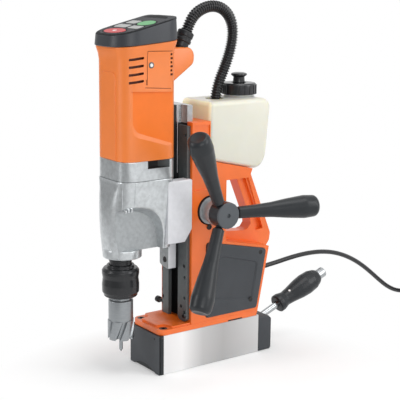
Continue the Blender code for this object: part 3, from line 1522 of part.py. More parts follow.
def build_keypad():
    base = -PAD_SEAT + REST
    pad = pad_prism("keypad", "keypad_grey", pad_outline(0), base, base + PAD_THICK)
    for name, (finish, outline) in key_outlines().items():
        middle = Vector((sum(x for x, _ in outline), sum(y for _, y in outline))) / len(outline)
        wider = []
        for point in outline:
            away = Vector(point) - middle
            wider.append(tuple(middle + away + away.normalized() * REST * 1.5))
        cut(pad, pad_prism(f"{name}_window", None, wider, -PAD_SEAT - PAST, PAST))
        low = -PAD_SEAT + KEY_LIFT
        pad_prism(name, finish, outline, low, low + KEY_HEIGHT)


# Ribbed hose and its ends


def connector_place():
    base = Vector((0, MOTOR_REAR + CONNECTOR_BACK, MOTOR_TOP - LOBE_TOP))
    along = Vector((0, math.sin(CONNECTOR_LEAN), math.cos(CONNECTOR_LEAN)))
    return base, along


def build_hose_ends():
    base, along = connector_place()
    inner = HOSE_RADIUS + REST
    lip = CONNECTOR_LENGTH - HOSE_INSERT - REST
    foot = 0.0062
    profile = [
        (0, -CONNECTOR_SINK),
        (CONNECTOR_RADIUS - 0.0025, -CONNECTOR_SINK),
        (CONNECTOR_RADIUS - 0.0025, foot),
        (CONNECTOR_RADIUS, foot),
        (CONNECTOR_RADIUS, 0.015),
        (CONNECTOR_RADIUS + 0.002, 0.016),
        (CONNECTOR_RADIUS + 0.002, CONNECTOR_LENGTH - 0.002),
        (CONNECTOR_RADIUS + 0.0005, CONNECTOR_LENGTH),
        (inner, CONNECTOR_LENGTH),
        (inner, lip),
        (0, lip),
    ]
    lathe("hose_connector", "rubber", profile, base, along, 16)
    at = (0, HOSE_WELL_Y, SHELF_LOW)
    top = HOSE_SOCKET_RISE
    socket = [
        (0, 0.005 + REST),
        (HOSE_SOCKET_RADIUS, 0.005 + REST),
        (HOSE_SOCKET_RADIUS, top - 0.001),
        (HOSE_SOCKET_RADIUS - 0.001, top),
        (inner, top),
        (inner, top - HOSE_INSERT - REST),
        (0, top - HOSE_INSERT - REST),
    ]
    lathe("hose_socket", "rubber", socket, at, steps=16)


def hose_line():
    base, along = connector_place()
    start = base + along * (CONNECTOR_LENGTH - HOSE_INSERT)
    foot = Vector((0, HOSE_WELL_Y, SHELF_LOW + HOSE_SOCKET_RISE - HOSE_INSERT))
    rise = MOTOR_TOP - 0.533
    arch = [
        (-0.0135, 0.5740),
        (-0.0020, 0.5825),
        (0.0140, 0.5890),
        (0.0300, 0.5905),
        (0.0450, 0.5870),
        (0.0570, 0.5785),
        (0.0650, 0.5660),
        (0.0685, 0.5510),
        (0.0680, 0.5350),
        (0.0645, 0.5185),
        (0.0590, 0.5020),
        (0.0525, 0.4860),
        (0.0460, 0.4700),
        (0.0405, 0.4530),
        (0.0365, 0.4350),
        (0.0343, 0.4150),
    ]
    straight = 2 * HOSE_RADIUS + HOSE_INSERT
    route = [start, start + along * straight * 0.5, start + along * straight]
    route += [Vector((0, y, z + rise)) for y, z in arch]
    route += [foot + Vector((0, 0, 0.040)), foot + Vector((0, 0, straight)), foot]
    return smooth(route)


def build_hose():
    line = hose_line()
    ribs = int(length_of(line) / RIB_PITCH)
    points = spaced(line, 2 * ribs + 1)
    shares = [1.0 if index % 2 else HOSE_GROOVE for index in range(len(points))]
    hose = tube("ribbed_hose", "rubber", points, HOSE_RADIUS, shares, 2)
    first = points[0] - (points[1] - points[0]).normalized() * PAST
    last = points[-1] + (points[-1] - points[-2]).normalized() * PAST
    bore = tube("hose_bore", None, [first] + spaced(line, 24) + [last], HOSE_BORE, None, 2)
    cut(hose, bore)
    print(f"hose length {length_of(line):.3f} m with {ribs} ribs")


# Coolant tank


def tank_form(name, finish, inset):
    front = COLUMN_TOP_REAR + REST + inset
    rear = TANK_REAR - inset
    top = BASE_TOP + TANK_RISE - inset
    slope = (SHELF_FRONT_THICK - SHELF_REAR_THICK) / SHELF_REACH
    bottom = SHELF_LOW + SHELF_FRONT_THICK + REST + inset

    def floor(y):
        return bottom - slope * (y - COLUMN_TOP_REAR)

    tail = rear - TANK_TAPER - 0.008
    outline = rounded(
        [
            (front, floor(front)),
            (tail, floor(tail), 0.008),
            (rear - TANK_TAPER, floor(tail) + 0.016, 0.012),
            (rear, top - 0.010),
            (rear - 0.006, top),
            (front + 0.012, top),
            (front, top - 0.010),
        ],
        3,
    )
    half = TANK_HALF - inset
    loops = []
    for side in (-1, 1):
        for step in range(3) if side < 0 else range(2, -1, -1):
            turn = math.pi / 4 * step
            x = side * (half - TANK_ROUND * (1 - math.cos(turn)))
            loop = inset_outline(outline, TANK_ROUND * (1 - math.sin(turn)))
            loops.append([(x, y, z) for y, z in loop])
    side = loft(name, finish, loops)
    corner = TANK_CORNER - inset
    wide = half + REST
    back = rear + REST
    plan = rounded(
        [(-wide, front - PAST), (wide, front - PAST), (wide, back, corner), (-wide, back, corner)],
        6,
    )
    low = SHELF_LOW - 0.05
    keep = prism(f"{name}_plan", None, plan, "z", low, top + 0.05)
    boolean(side, keep, "INTERSECT")
    return side


def build_tank():
    tank = tank_form("coolant_tank", "tank", 0.0)
    top = BASE_TOP + TANK_RISE
    neck_at = (0, NECK_Y, top)
    neck = rod("filler_neck", None, NECK_RADIUS, -0.006, NECK_HEIGHT, neck_at, steps=24)
    fuse(tank, neck)
    hollow = tank_form("tank_hollow", None, TANK_WALL)
    well_at = (0, HOSE_WELL_Y, SHELF_LOW - 0.02)
    wall = rod("well_wall", None, WELL_RADIUS + TANK_WALL, 0, 0.3, well_at, steps=16)
    bore = rod("filler_bore", None, NECK_BORE, -0.020, NECK_HEIGHT + PAST, neck_at, steps=24)
    well = rod("hose_well", None, WELL_RADIUS, 0, 0.3, well_at, steps=16)
    fuse(hollow, bore)
    cut(hollow, wall)
    cut(tank, well, hollow)


def build_tank_cap():
    top = BASE_TOP + TANK_RISE
    at = (0, NECK_Y, top)
    group = body_group("tank_cap_axis", at)
    low = CAP_START
    inner_top = NECK_HEIGHT + REST
    high = inner_top + CAP_ROOF
    profile = [
        (0, inner_top),
        (NECK_RADIUS + REST, inner_top),
        (NECK_RADIUS + REST, low),
        (CAP_RADIUS, low),
        (CAP_RADIUS, high - 0.003),
        (CAP_RADIUS - 0.004, high),
        (VENT_PIN + REST, high),
        (VENT_PIN + REST, inner_top + 0.003),
        (0, inner_top + 0.003),
    ]
    cap = lathe("tank_cap", "dark_plastic", profile, at, steps=24)
    stopper_top = inner_top - REST
    stopper_low = stopper_top - STOPPER_THICK
    stopper = rod("tank_stopper", "rubber", NECK_BORE - REST, stopper_low, stopper_top, at, steps=24)
    knob = [
        (0, inner_top + 0.003 + REST),
        (VENT_PIN, inner_top + 0.003 + REST),
        (VENT_PIN, high + REST),
        (VENT_STEM, high + REST),
        (VENT_STEM - 0.0008, high + VENT_HEIGHT - 0.007),
        (VENT_FLANGE, high + VENT_HEIGHT - 0.004),
        (VENT_FLANGE - 0.0006, high + VENT_HEIGHT - 0.0015),
        (VENT_FLANGE - 0.005, high + VENT_HEIGHT),
        (0, high + VENT_HEIGHT),
    ]
    vent = lathe("vent_knob", "dark_plastic", knob, at, steps=18)
    carry(group, cap, stopper, vent)


# Supply cord


def gland_place():
    rise = BASE_TOP + GLAND_RISE
    low = BASE_LOW + BASE_THICK / 2
    run = BODY_LEAN / (BASE_TOP + BODY_RISE - low)
    at = Vector((GLAND_X, BODY_REAR + run * (rise - low), rise))
    return at, Vector((0, math.cos(GLAND_TILT), math.sin(GLAND_TILT)))


def build_gland():
    at, along = gland_place()
    bore = CORD_RADIUS + REST
    depth = GLAND_LENGTH - CORD_INSERT - REST
    profile = [
        (0, -GLAND_SINK),
        (GLAND_RADIUS, -GLAND_SINK),
        (GLAND_RADIUS, 0.006),
        (GLAND_RADIUS - 0.0008, 0.012),
        (GLAND_TIP, GLAND_LENGTH),
        (bore, GLAND_LENGTH),
        (bore, depth),
        (0, depth),
    ]
    lathe("cord_gland", "rubber", profile, at, along, 14)


def cord_route():
    at, along = gland_place()
    start = at + along * (GLAND_LENGTH - CORD_INSERT)
    floor = [
        (-0.0242, 0.196, 0.1312),
        (-0.0250, 0.225, 0.1342),
        (-0.0265, 0.255, 0.1358),
        (-0.0285, 0.285, 0.1352),
        (-0.0310, 0.315, 0.1318),
        (-0.0340, 0.345, 0.1250),
        (-0.0370, 0.375, 0.1144),
        (-0.0402, 0.405, 0.1000),
        (-0.0434, 0.434, 0.0824),
        (-0.0464, 0.461, 0.0632),
        (-0.0489, 0.486, 0.0444),
        (-0.0509, 0.510, 0.0278),
        (-0.0524, 0.533, 0.0160),
        (-0.0533, 0.556, 0.0091),
        (-0.0537, 0.578, 0.0064),
        (-0.05385, 0.600, 0.0060),
    ]
    reach = COIL_INNER + COIL_TURNS * COIL_PITCH
    meet = (COIL_AT[0] - reach, COIL_AT[1] - COIL_JOIN, COIL_LIFT)
    return [start, start + along * 0.022] + [Vector(point) for point in floor] + [Vector(meet)]


def build_cord():
    points = spaced(smooth(cord_route(), 6), 30)
    tube("cord", "rubber", points, CORD_RADIUS, None, 2)
    print(f"cord length {length_of(points):.3f} m before the coil")


def coil_line():
    # The coil starts at its outside on the -X side and winds clockwise, in and out, layer on layer.
    points = []
    layer_steps = round(COIL_TURNS * COIL_POINTS)
    climb_steps = round(COIL_CLIMB * COIL_POINTS)
    step = 0
    for layer in range(COIL_LAYERS):
        for index in range(layer_steps + 1):
            share = index / layer_steps
            inward = share if layer % 2 else 1 - share
            radius = COIL_INNER + inward * COIL_TURNS * COIL_PITCH
            points.append((step, radius, COIL_LIFT + layer * COIL_PITCH))
            step += 1
        if layer == COIL_LAYERS - 1:
            break
        for index in range(1, climb_steps):
            points.append((step, points[-1][1], COIL_LIFT + (layer + index / climb_steps) * COIL_PITCH))
            step += 1
    line = []
    for number, radius, height in points:
        turn = math.pi - math.tau * number / COIL_POINTS
        x = COIL_AT[0] + radius * math.cos(turn)
        y = COIL_AT[1] + radius * math.sin(turn)
        line.append(Vector((x, y, height)))
    return line


def plug_place():
    end = coil_line()[-1]
    along = Vector((0, 1, 0))
    return Vector((end.x, end.y + TAIL_LENGTH, PLUG_RADIUS + REST)), along


def least_gap(line, radius):
    least = 1.0
    for index, point in enumerate(line):
        for other in range(index + 8, len(line) - 1):
            start = line[other]
            along = line[other + 1] - start
            share = max(0.0, min(1.0, (point - start).dot(along) / along.length_squared))
            least = min(least, (start + along * share - point).length)
    return least - 2 * radius


def build_coil():
    line = coil_line()
    end = line[-1]
    plug, along = plug_place()
    tail = [end]
    for share, drop in ((0.20, 0.02), (0.38, 0.16), (0.58, 0.52), (0.78, 0.86), (0.94, 1.0)):
        tail.append(Vector((end.x, end.y + share * TAIL_LENGTH, end.z + (plug.z - end.z) * drop)))
    tail.append(plug + along * (CORD_INSERT - REST))
    line += smooth(tail, 2)[1:]
    tube("cord_coil", "rubber", line, CORD_RADIUS, None, 1)
    gap = least_gap(line, CORD_RADIUS)
    print(f"coil length {length_of(line):.3f} m, least gap to itself {gap * 1000:.2f} mm")


def build_tie():
    outer = COIL_INNER + COIL_TURNS * COIL_PITCH + CORD_RADIUS + 0.0008
    inner = COIL_INNER - CORD_RADIUS - 0.0008
    low = REST
    high = COIL_LIFT + (COIL_LAYERS - 1) * COIL_PITCH + CORD_RADIUS + REST + TIE_THICK
    half = TIE_WIDTH / 2
    tie = box("cord_tie", "rubber", (inner - TIE_THICK, -half, low), (outer + TIE_THICK, half, high))
    window_high = (outer, half + PAST, high - TIE_THICK)
    window = box("tie_window", None, (inner, -half - PAST, low + TIE_THICK), window_high)
    for item in (tie, window):
        item.location = (*COIL_AT, 0)
        item.rotation_euler = (0, 0, TIE_ANGLE)
    cut(tie, window)


def build_plug():
    at, along = plug_place()
    bore = CORD_RADIUS + REST
    profile = [
        (0, CORD_INSERT + REST),
        (bore, CORD_INSERT + REST),
        (bore, 0),
        (bore + 0.0022, 0),
        (0.0105, PLUG_NECK),
        (PLUG_RADIUS, PLUG_NECK + 0.004),
        (PLUG_RADIUS, PLUG_LENGTH - 0.002),
        (PLUG_RADIUS - 0.002, PLUG_LENGTH),
        (0, PLUG_LENGTH),
    ]
    plug = lathe("plug", "rubber", profile, at, along, 16)
    for side in (1, -1):
        pin_at = at + Vector((side * PIN_SIDE, PLUG_LENGTH, 0))
        fuse(plug, rod(f"plug_pin_{side}", None, PIN_RADIUS, -PAST, PIN_LENGTH, pin_at, along, 8))


build_foot()
build_front_cover()
build_rear_cap()
build_magnet()
build_lever()
build_stand()
build_base_bolts()
build_gibs()
build_lock_knob()
build_side_cover()
build_board()
build_carriage()
build_feed_bearing()
build_capstan()
build_gear_housing()
build_bearings()
build_band()
build_motor()
build_stator()
build_armature()
build_counter_gear()
build_spindle()
build_head()
build_keypad()
build_hose_ends()
build_hose()
build_tank()
build_tank_cap()
build_gland()
build_cord()
build_coil()
build_tie()
build_plug()
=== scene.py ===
import json
import math

import bmesh
import bpy
from mathutils import Matrix, Vector
from mathutils.geometry import convex_hull_2d


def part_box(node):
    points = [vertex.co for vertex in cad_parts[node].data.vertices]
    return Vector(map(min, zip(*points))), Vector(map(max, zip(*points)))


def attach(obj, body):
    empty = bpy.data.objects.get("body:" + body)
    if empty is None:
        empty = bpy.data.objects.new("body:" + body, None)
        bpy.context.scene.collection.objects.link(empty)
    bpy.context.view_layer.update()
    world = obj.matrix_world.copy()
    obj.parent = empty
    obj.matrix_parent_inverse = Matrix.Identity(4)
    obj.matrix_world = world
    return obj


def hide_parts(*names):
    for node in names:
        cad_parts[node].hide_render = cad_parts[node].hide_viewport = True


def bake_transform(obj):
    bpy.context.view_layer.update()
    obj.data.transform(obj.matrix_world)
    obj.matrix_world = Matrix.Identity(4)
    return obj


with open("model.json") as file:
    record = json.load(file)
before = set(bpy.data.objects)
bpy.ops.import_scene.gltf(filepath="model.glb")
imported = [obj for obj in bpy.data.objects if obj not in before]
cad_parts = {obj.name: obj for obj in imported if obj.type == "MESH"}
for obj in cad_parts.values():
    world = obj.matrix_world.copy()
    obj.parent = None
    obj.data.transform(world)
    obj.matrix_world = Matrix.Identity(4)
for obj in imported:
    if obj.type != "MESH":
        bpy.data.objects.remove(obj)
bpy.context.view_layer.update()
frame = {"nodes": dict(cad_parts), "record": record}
nodes = frame["nodes"]
record = frame["record"]
bodyOf = {name: body for body, names in record["behaviour"]["bodies"].items() for name in names}
print("frame:", len(nodes), "nodes")


# Camera, floor and light

shot = {
    "at": Vector((1.4206, -1.0184, 0.6472)),
    "target": Vector((0, 0.006, 0.2727)),
    "roll": math.radians(0.57),
    "lens": 96.75,
    "sensor": 36,
}


def addObject(name, data):
    made = bpy.data.objects.new(name, data)
    bpy.context.collection.objects.link(made)
    return made


def facing(start, end):
    return (Vector(end) - Vector(start)).to_track_quat("-Z", "Y")


def addCamera():
    lens = bpy.data.cameras.new("camera")
    lens.lens = shot["lens"]
    lens.sensor_width = shot["sensor"]
    camera = addObject("camera", lens)
    look = facing(shot["at"], shot["target"]).to_matrix().to_4x4()
    camera.rotation_euler = (look @ Matrix.Rotation(shot["roll"], 4, "Z")).to_euler()
    camera.location = shot["at"]
    bpy.context.scene.camera = camera


def srgb(red, green, blue):
    return tuple(((value / 255 + 0.055) / 1.055) ** 2.4 for value in (red, green, blue))


def grey(tone):
    return (tone, tone, tone, 1)


def wired(tree, node, inputs):
    # Each input takes a value or another node's output.
    for place, value in inputs.items():
        if isinstance(value, bpy.types.NodeSocket):
            tree.links.new(value, node.inputs[place])
        else:
            node.inputs[place].default_value = value
    return node


def added(tree, kind, inputs, output=0, operation=None):
    node = tree.nodes.new("ShaderNode" + kind)
    if operation:
        node.operation = operation
    return wired(tree, node, inputs).outputs[output]


def ranged(tree, value, low=0.0, high=1.0, start=0.0, end=1.0):
    limits = {"From Min": low, "From Max": high, "To Min": start, "To Max": end}
    return added(tree, "MapRange", {"Value": value, **limits})


def mixed(tree, share, first, second):
    return added(tree, "MixShader", {"Fac": share, 1: first, 2: second})


def ramp(tree, source, stops):
    node = tree.nodes.new("ShaderNodeValToRGB")
    elements = node.color_ramp.elements
    elements[0].position, elements[0].color = stops[0]
    elements[1].position, elements[1].color = stops[-1]
    for position, colour in stops[1:-1]:
        elements.new(position).color = colour
    return wired(tree, node, {"Fac": source}).outputs["Color"]


def greyRamp(tree, source, tones):
    return ramp(tree, source, [(position, grey(tone)) for position, tone in tones])


def seenRays(tree):
    # One for rays from the camera and for those that mirror or pass on what it sees.
    value = added(tree, "LightPath", {}, "Is Camera Ray")
    for name in ("Is Glossy Ray", "Is Transmission Ray"):
        value = added(tree, "Math", {0: value, 1: added(tree, "LightPath", {}, name)}, 0, "MAXIMUM")
    return value


def onlyMirrored(tree, kind, value):
    # A camera ray never takes the dim side, so floor and backdrop stay pale from everywhere.
    return added(tree, "Math", {0: value, 1: added(tree, "LightPath", {}, "Is Camera Ray")}, 0, kind)


floorLook = {
    "size": 60,
    "tone": 0.90,
    "lift": 0.12,
    "shadowAt": (0.16, -0.08, 0.0),
    "shadowEnds": (0.24, 0.37),  # Past the second distance the floor is white.
    "dimTone": 0.40,
    "dimEnds": (-0.85, -0.50),
}


def addFloor():
    bpy.ops.mesh.primitive_plane_add(size=floorLook["size"], location=(0, 0, 0))
    floor = bpy.context.object
    floor.name = "floor"
    material = bpy.data.materials.new("floor")
    material.use_nodes = True
    tree = material.node_tree
    tree.nodes.remove(tree.nodes["Principled BSDF"])
    where = added(tree, "TexCoord", {}, "Object")
    matt = added(tree, "BsdfDiffuse", {"Color": grey(floorLook["tone"])})
    lift = added(tree, "Emission", {"Strength": floorLook["lift"]})
    near = added(tree, "AddShader", {0: matt, 1: lift})
    reach = added(tree, "VectorMath", {0: where, 1: floorLook["shadowAt"]}, "Value", "DISTANCE")
    fade = ranged(tree, reach, *floorLook["shadowEnds"])
    shaded = mixed(tree, fade, near, added(tree, "Emission", {}))
    # Metal mirrors a dim studio floor in front of the view.
    dim = added(tree, "BsdfDiffuse", {"Color": grey(floorLook["dimTone"])})
    end = ranged(tree, added(tree, "SeparateXYZ", {0: where}, "Y"), *floorLook["dimEnds"])
    paper = mixed(tree, onlyMirrored(tree, "MAXIMUM", end), dim, shaded)
    seen = mixed(tree, seenRays(tree), matt, paper)
    wired(tree, tree.nodes["Material Output"], {"Surface": seen})
    floor.data.materials.append(material)


room = {
    "strength": 0.50,
    "cameraSide": (0.05, -1.0, 0.0),
    "tones": [(0.48, 1.0), (0.62, 0.70), (0.80, 0.36)],
}


def addWorld():
    # White all round, but metal mirrors a dimmer room on the camera's side.
    world = bpy.data.worlds.new("studio")
    bpy.context.scene.world = world
    world.use_nodes = True
    tree = world.node_tree
    light = wired(tree, tree.nodes["Background"], {"Strength": room["strength"], "Color": grey(1)})
    where = added(tree, "TexCoord", {}, "Generated")
    toward = added(tree, "VectorMath", {0: where, 1: room["cameraSide"]}, "Value", "DOT_PRODUCT")
    side = onlyMirrored(tree, "SUBTRACT", ranged(tree, toward, -1.0))
    back = added(tree, "Background", {"Color": greyRamp(tree, side, room["tones"])})
    seen = mixed(tree, seenRays(tree), light.outputs[0], back)
    wired(tree, tree.nodes["World Output"], {"Surface": seen})


lamps = {
    "rightLamp": {"at": (1.6, 1.1, 1.2), "aim": (0, 0, 0.28), "size": (0.7, 1.6), "power": 13.5},
    "fillLamp": {"at": (2.0, -0.9, 0.9), "aim": (0, 0, 0.26), "size": (1.0, 1.0), "power": 11.5},
    "leftLamp": {"at": (-0.5, -1.9, 1.0), "aim": (0, -0.05, 0.28), "size": (0.5, 1.6), "power": 13},
    "topLamp": {"at": (0.5, 0.1, 2.2), "aim": (0, 0, 0.2), "size": (1.2, 1.2), "power": 12},
}


def addLamp(name, at, aim, size, power):
    light = bpy.data.lights.new(name, "AREA")
    light.shape = "RECTANGLE"
    light.size, light.size_y = size
    light.energy = power
    lamp = addObject(name, light)
    lamp.location = at
    lamp.rotation_euler = facing(at, aim).to_euler()


bpy.context.scene.view_settings.view_transform = "Standard"
addCamera()
addFloor()
addWorld()
for name, lamp in lamps.items():
    addLamp(name, **lamp)
print("camera, floor and light made")


# Finishes

def newTree(name):
    material = bpy.data.materials.new(name)
    material.use_nodes = True
    return material, material.node_tree, material.node_tree.nodes["Principled BSDF"]


def noiseAt(tree, scale, detail, stretch=(1, 1, 1)):
    where = added(tree, "TexCoord", {}, "Object")
    lay = added(tree, "Mapping", {"Vector": where, "Scale": stretch})
    return added(tree, "TexNoise", {"Vector": lay, "Scale": scale, "Detail": detail})


def cloudy(tree, noise, dark, pale):
    return ramp(tree, noise, [(0.3, (*dark, 1)), (0.7, (*pale, 1))])


def finish(
    name, colour, rough, metal=0.0, gloss=0.5, vary=0.05, spread=0.06,
    scale=45, grain=1200, bump=0.05, stretch=(1, 1, 1),
):
    # Clouds vary the colour, and a fine grain varies the polish and the surface.
    material, tree, shader = newTree(name)
    base = srgb(*colour)
    dark = [value * (1 - vary) for value in base]
    pale = [min(1, value * (1 + vary)) for value in base]
    fine = noiseAt(tree, grain, 3, stretch)
    wired(tree, shader, {
        "Specular IOR Level": gloss,
        "Metallic": metal,
        "Base Color": cloudy(tree, noiseAt(tree, scale, 5, stretch), dark, pale),
        "Roughness": ranged(tree, fine, 0, 1, rough - spread, rough + spread),
        "Normal": added(tree, "Bump", {"Strength": bump, "Distance": 0.0004, "Height": fine}),
    })
    return material


footSteel = {
    "metal": 0.75,
    "rough": (0.28, 0.40),
    "ends": (-0.105, 0.105),
    # Greys of the painted reflection, from the front end to the rear.
    "tones": [(0.0, 0.80), (0.22, 0.90), (0.42, 0.56), (0.62, 0.46), (1.0, 0.66)],
}


def steelWithPaintedSweep(name):
    # Ground steel, with the grey sweep of a soft box's reflection painted into its colour along its length.
    material, tree, shader = newTree(name)
    where = added(tree, "TexCoord", {}, "Object")
    along = ranged(tree, added(tree, "SeparateXYZ", {0: where}, "Y"), *footSteel["ends"])
    fine = noiseAt(tree, 700, 3, (1, 1, 12))
    wired(tree, shader, {
        "Metallic": footSteel["metal"],
        "Base Color": greyRamp(tree, along, footSteel["tones"]),
        "Roughness": ranged(tree, fine, 0, 1, *footSteel["rough"]),
    })
    return material


def creamPlastic(name, dark, pale):
    # Milky plastic that lets light in.
    material, tree, shader = newTree(name)
    fine = noiseAt(tree, 1500, 2)
    wired(tree, shader, {
        "Subsurface Weight": 0.45,
        "Subsurface Radius": (0.024, 0.019, 0.010),
        "Subsurface Scale": 0.6,
        "Roughness": 0.32,
        "Base Color": cloudy(tree, noiseAt(tree, 22, 3), srgb(*dark), srgb(*pale)),
        "Normal": added(tree, "Bump", {"Strength": 0.03, "Distance": 0.0003, "Height": fine}),
    })
    return material


orangePlastic = finish("orangePlastic", (229, 119, 36), 0.37, gloss=0.85, vary=0.025, bump=0.03)
orangeDeep = finish("orangeDeep", (234, 115, 33), 0.42, gloss=0.35, vary=0.03, bump=0.03)
orangePaint = finish("orangePaint", (238, 108, 26), 0.34, gloss=0.75, vary=0.03, bump=0.04)
castMetal = finish("castMetal", (200, 204, 206), 0.30, 0.85, vary=0.12, scale=150, grain=620, bump=0.07)
# A darker, duller copy of castMetal: painted shade for cast faces that lie in shade.
castShade = finish(
    "castShade", (164, 168, 170), 0.50, 0.45, vary=0.10, spread=0.10, scale=190, grain=620, bump=0.20
)
milledMetal = finish("milledMetal", (222, 223, 227), 0.52, 0.25, vary=0.04, scale=110, grain=420)
groundSteel = steelWithPaintedSweep("groundSteel")
brightSteel = finish("brightSteel", (170, 173, 175), 0.24, 0.95, vary=0.06, scale=120, grain=900, bump=0.03)
cutterSteel = finish(
    "cutterSteel", (150, 154, 157), 0.32, 0.85, vary=0.06, scale=90, grain=700, bump=0.04, stretch=(1, 1, 5)
)
blackSteel = finish("blackSteel", (40, 41, 43), 0.36, 0.2, 0.3, vary=0.10, scale=70, grain=700, bump=0.06)
# Black for the carriage's guide: partly its coating, partly painted shade.
slotBlackAndShade = finish("slotBlackAndShade", (34, 35, 36), 0.50, 0.1, 0.25, vary=0.12, scale=60, grain=700, bump=0.06)
gibGrey = finish("gibGrey", (92, 97, 98), 0.46, 0.2, 0.3, vary=0.08, scale=90, grain=900, bump=0.07)
oiledSteel = finish("oiledSteel", (40, 41, 43), 0.24, 0.3, vary=0.10, scale=70, grain=700, bump=0.04)
charcoal = finish("charcoal", (64, 67, 71), 0.46, gloss=0.3, grain=1500, bump=0.07)
headGrey = finish("headGrey", (48, 51, 56), 0.40, gloss=0.4, grain=1500, bump=0.06)
headBlack = finish("headBlack", (28, 29, 31), 0.62, gloss=0.10, vary=0.06, grain=1500)
blackPlastic = finish("blackPlastic", (34, 35, 37), 0.36, gloss=0.35, vary=0.08)
glossBlack = finish("glossBlack", (36, 37, 39), 0.22, vary=0.06, bump=0.02)
satinBlack = finish("satinBlack", (38, 41, 44), 0.32, gloss=0.3, vary=0.06, bump=0.02)
hoseBlack = finish("hoseBlack", (30, 30, 32), 0.20, gloss=0.6, vary=0.06, bump=0.02)
rubber = finish("rubber", (30, 30, 32), 0.34, gloss=0.45, vary=0.10)
padGrey = finish("padGrey", (70, 71, 74), 0.60, gloss=0.12, vary=0.06, bump=0.03)
hubGrey = finish("hubGrey", (80, 84, 88), 0.42, gloss=0.35, vary=0.06, bump=0.03)
keyGrey = finish("keyGrey", (172, 173, 172), 0.46, bump=0.03)
keyRed = finish("keyRed", (196, 50, 56), 0.42, bump=0.03)
keyGreen = finish("keyGreen", (88, 168, 104), 0.42, bump=0.03)
# White for print, and for small steel parts as a painted glint.
markAndGlintWhite = finish("markAndGlintWhite", (236, 236, 234), 0.45, vary=0.03, bump=0.02)
# Black for holes, slots and windows: painted shade in hollows, some drawn only as a flat disc or strip.
hollowShade = finish("hollowShade", (24, 22, 22), 0.60, vary=0.10, bump=0.04)
# Dark brown: painted shade inside the slots and notches, and the seams' dark joints.
shadeAndJointBrown = finish("shadeAndJointBrown", (92, 36, 16), 0.60, vary=0.15, bump=0.04)
cream = creamPlastic("cream", (218, 217, 203), (222, 221, 209))
# A paler cream for the tank's front: painted light.
creamPaintedLight = creamPlastic("creamPaintedLight", (252, 245, 208), (255, 248, 214))
boardGreen = finish("boardGreen", (40, 96, 58), 0.45, vary=0.10)
copper = finish("copper", (176, 104, 62), 0.36, metal=0.8, vary=0.08, bump=0.06)
print("finishes made")


# Helpers for shapes

sharpTurn = math.radians(38)  # Edges that turn more than this are softened.


def rounded(corners, steps=6):
    # A corner may carry a radius as its third value.
    outline = []
    for index, corner in enumerate(corners):
        here = Vector(corner[:2])
        if len(corner) < 3:
            outline.append(tuple(here))
            continue
        radius = corner[2]
        back = (Vector(corners[index - 1][:2]) - here).normalized()
        onward = (Vector(corners[(index + 1) % len(corners)][:2]) - here).normalized()
        half = back.angle(onward) / 2
        middle = here + (back + onward).normalized() * radius / math.sin(half)
        start = here + back * radius / math.tan(half) - middle
        end = here + onward * radius / math.tan(half) - middle
        first = math.atan2(start.y, start.x)
        sweep = (math.atan2(end.y, end.x) - first + math.pi) % math.tau - math.pi
        for step in range(steps + 1):
            turn = first + sweep * step / steps
            outline.append((middle.x + radius * math.cos(turn), middle.y + radius * math.sin(turn)))
    return outline


def boxLine(low, high, radii, steps=6):
    # A box from two corners; the radii are one number, or four that start at the low corner.
    radii = radii if isinstance(radii, tuple) else (radii,) * 4
    corners = [low, (high[0], low[1]), high, (low[0], high[1])]
    return rounded([(*corner, radius) for corner, radius in zip(corners, radii)], steps)


def ovalLine(centre, size, steps=40):
    turns = [math.tau * step / steps for step in range(steps)]
    return [(centre[0] + size[0] * math.cos(turn), centre[1] + size[1] * math.sin(turn)) for turn in turns]


def leaning(degrees):
    # A direction in the machine's middle plane, this far up from the floor.
    return Vector((0, math.cos(math.radians(degrees)), math.sin(math.radians(degrees))))


def throughPoints(points, steps=12):
    ends = [2 * points[0] - points[1], *points, 2 * points[-1] - points[-2]]
    line = []
    for before, start, end, after in zip(ends, ends[1:], ends[2:], ends[3:]):
        for step in range(steps):
            t = step / steps
            bend = 2 * start + (end - before) * t
            bend += (2 * before - 5 * start + 4 * end - after) * t**2
            bend += (3 * start - before - 3 * end + after) * t**3
            line.append(bend / 2)
    line.append(points[-1])
    return line


def spacedOut(line, count):
    lengths = [0.0]
    for start, end in zip(line, line[1:]):
        lengths.append(lengths[-1] + (end - start).length)
    points = []
    index = 0
    for step in range(count):
        want = lengths[-1] * step / (count - 1)
        while index < len(line) - 2 and lengths[index + 1] < want:
            index += 1
        share = (want - lengths[index]) / (lengths[index + 1] - lengths[index])
        points.append(line[index].lerp(line[index + 1], share))
    return points


def lengthOf(line):
    return sum((end - start).length for start, end in zip(line, line[1:]))


def tube(name, line, radius, roundness):
    curve = bpy.data.curves.new(name, "CURVE")
    curve.dimensions = "3D"
    curve.bevel_depth = radius
    curve.bevel_resolution = roundness
    curve.use_fill_caps = True
    spline = curve.splines.new("POLY")
    spline.points.add(len(line) - 1)
    for point, place in zip(spline.points, line):
        point.co = (*place, 1)
    spline.use_smooth = True
    return addObject(name, curve)


def bevelled(form, edges, offset, segments):
    bmesh.ops.bevel(
        form, geom=edges, offset=offset, offset_type="OFFSET", affect="EDGES",
        segments=segments, profile=0.5, material=-1, clamp_overlap=True,
    )
    return form


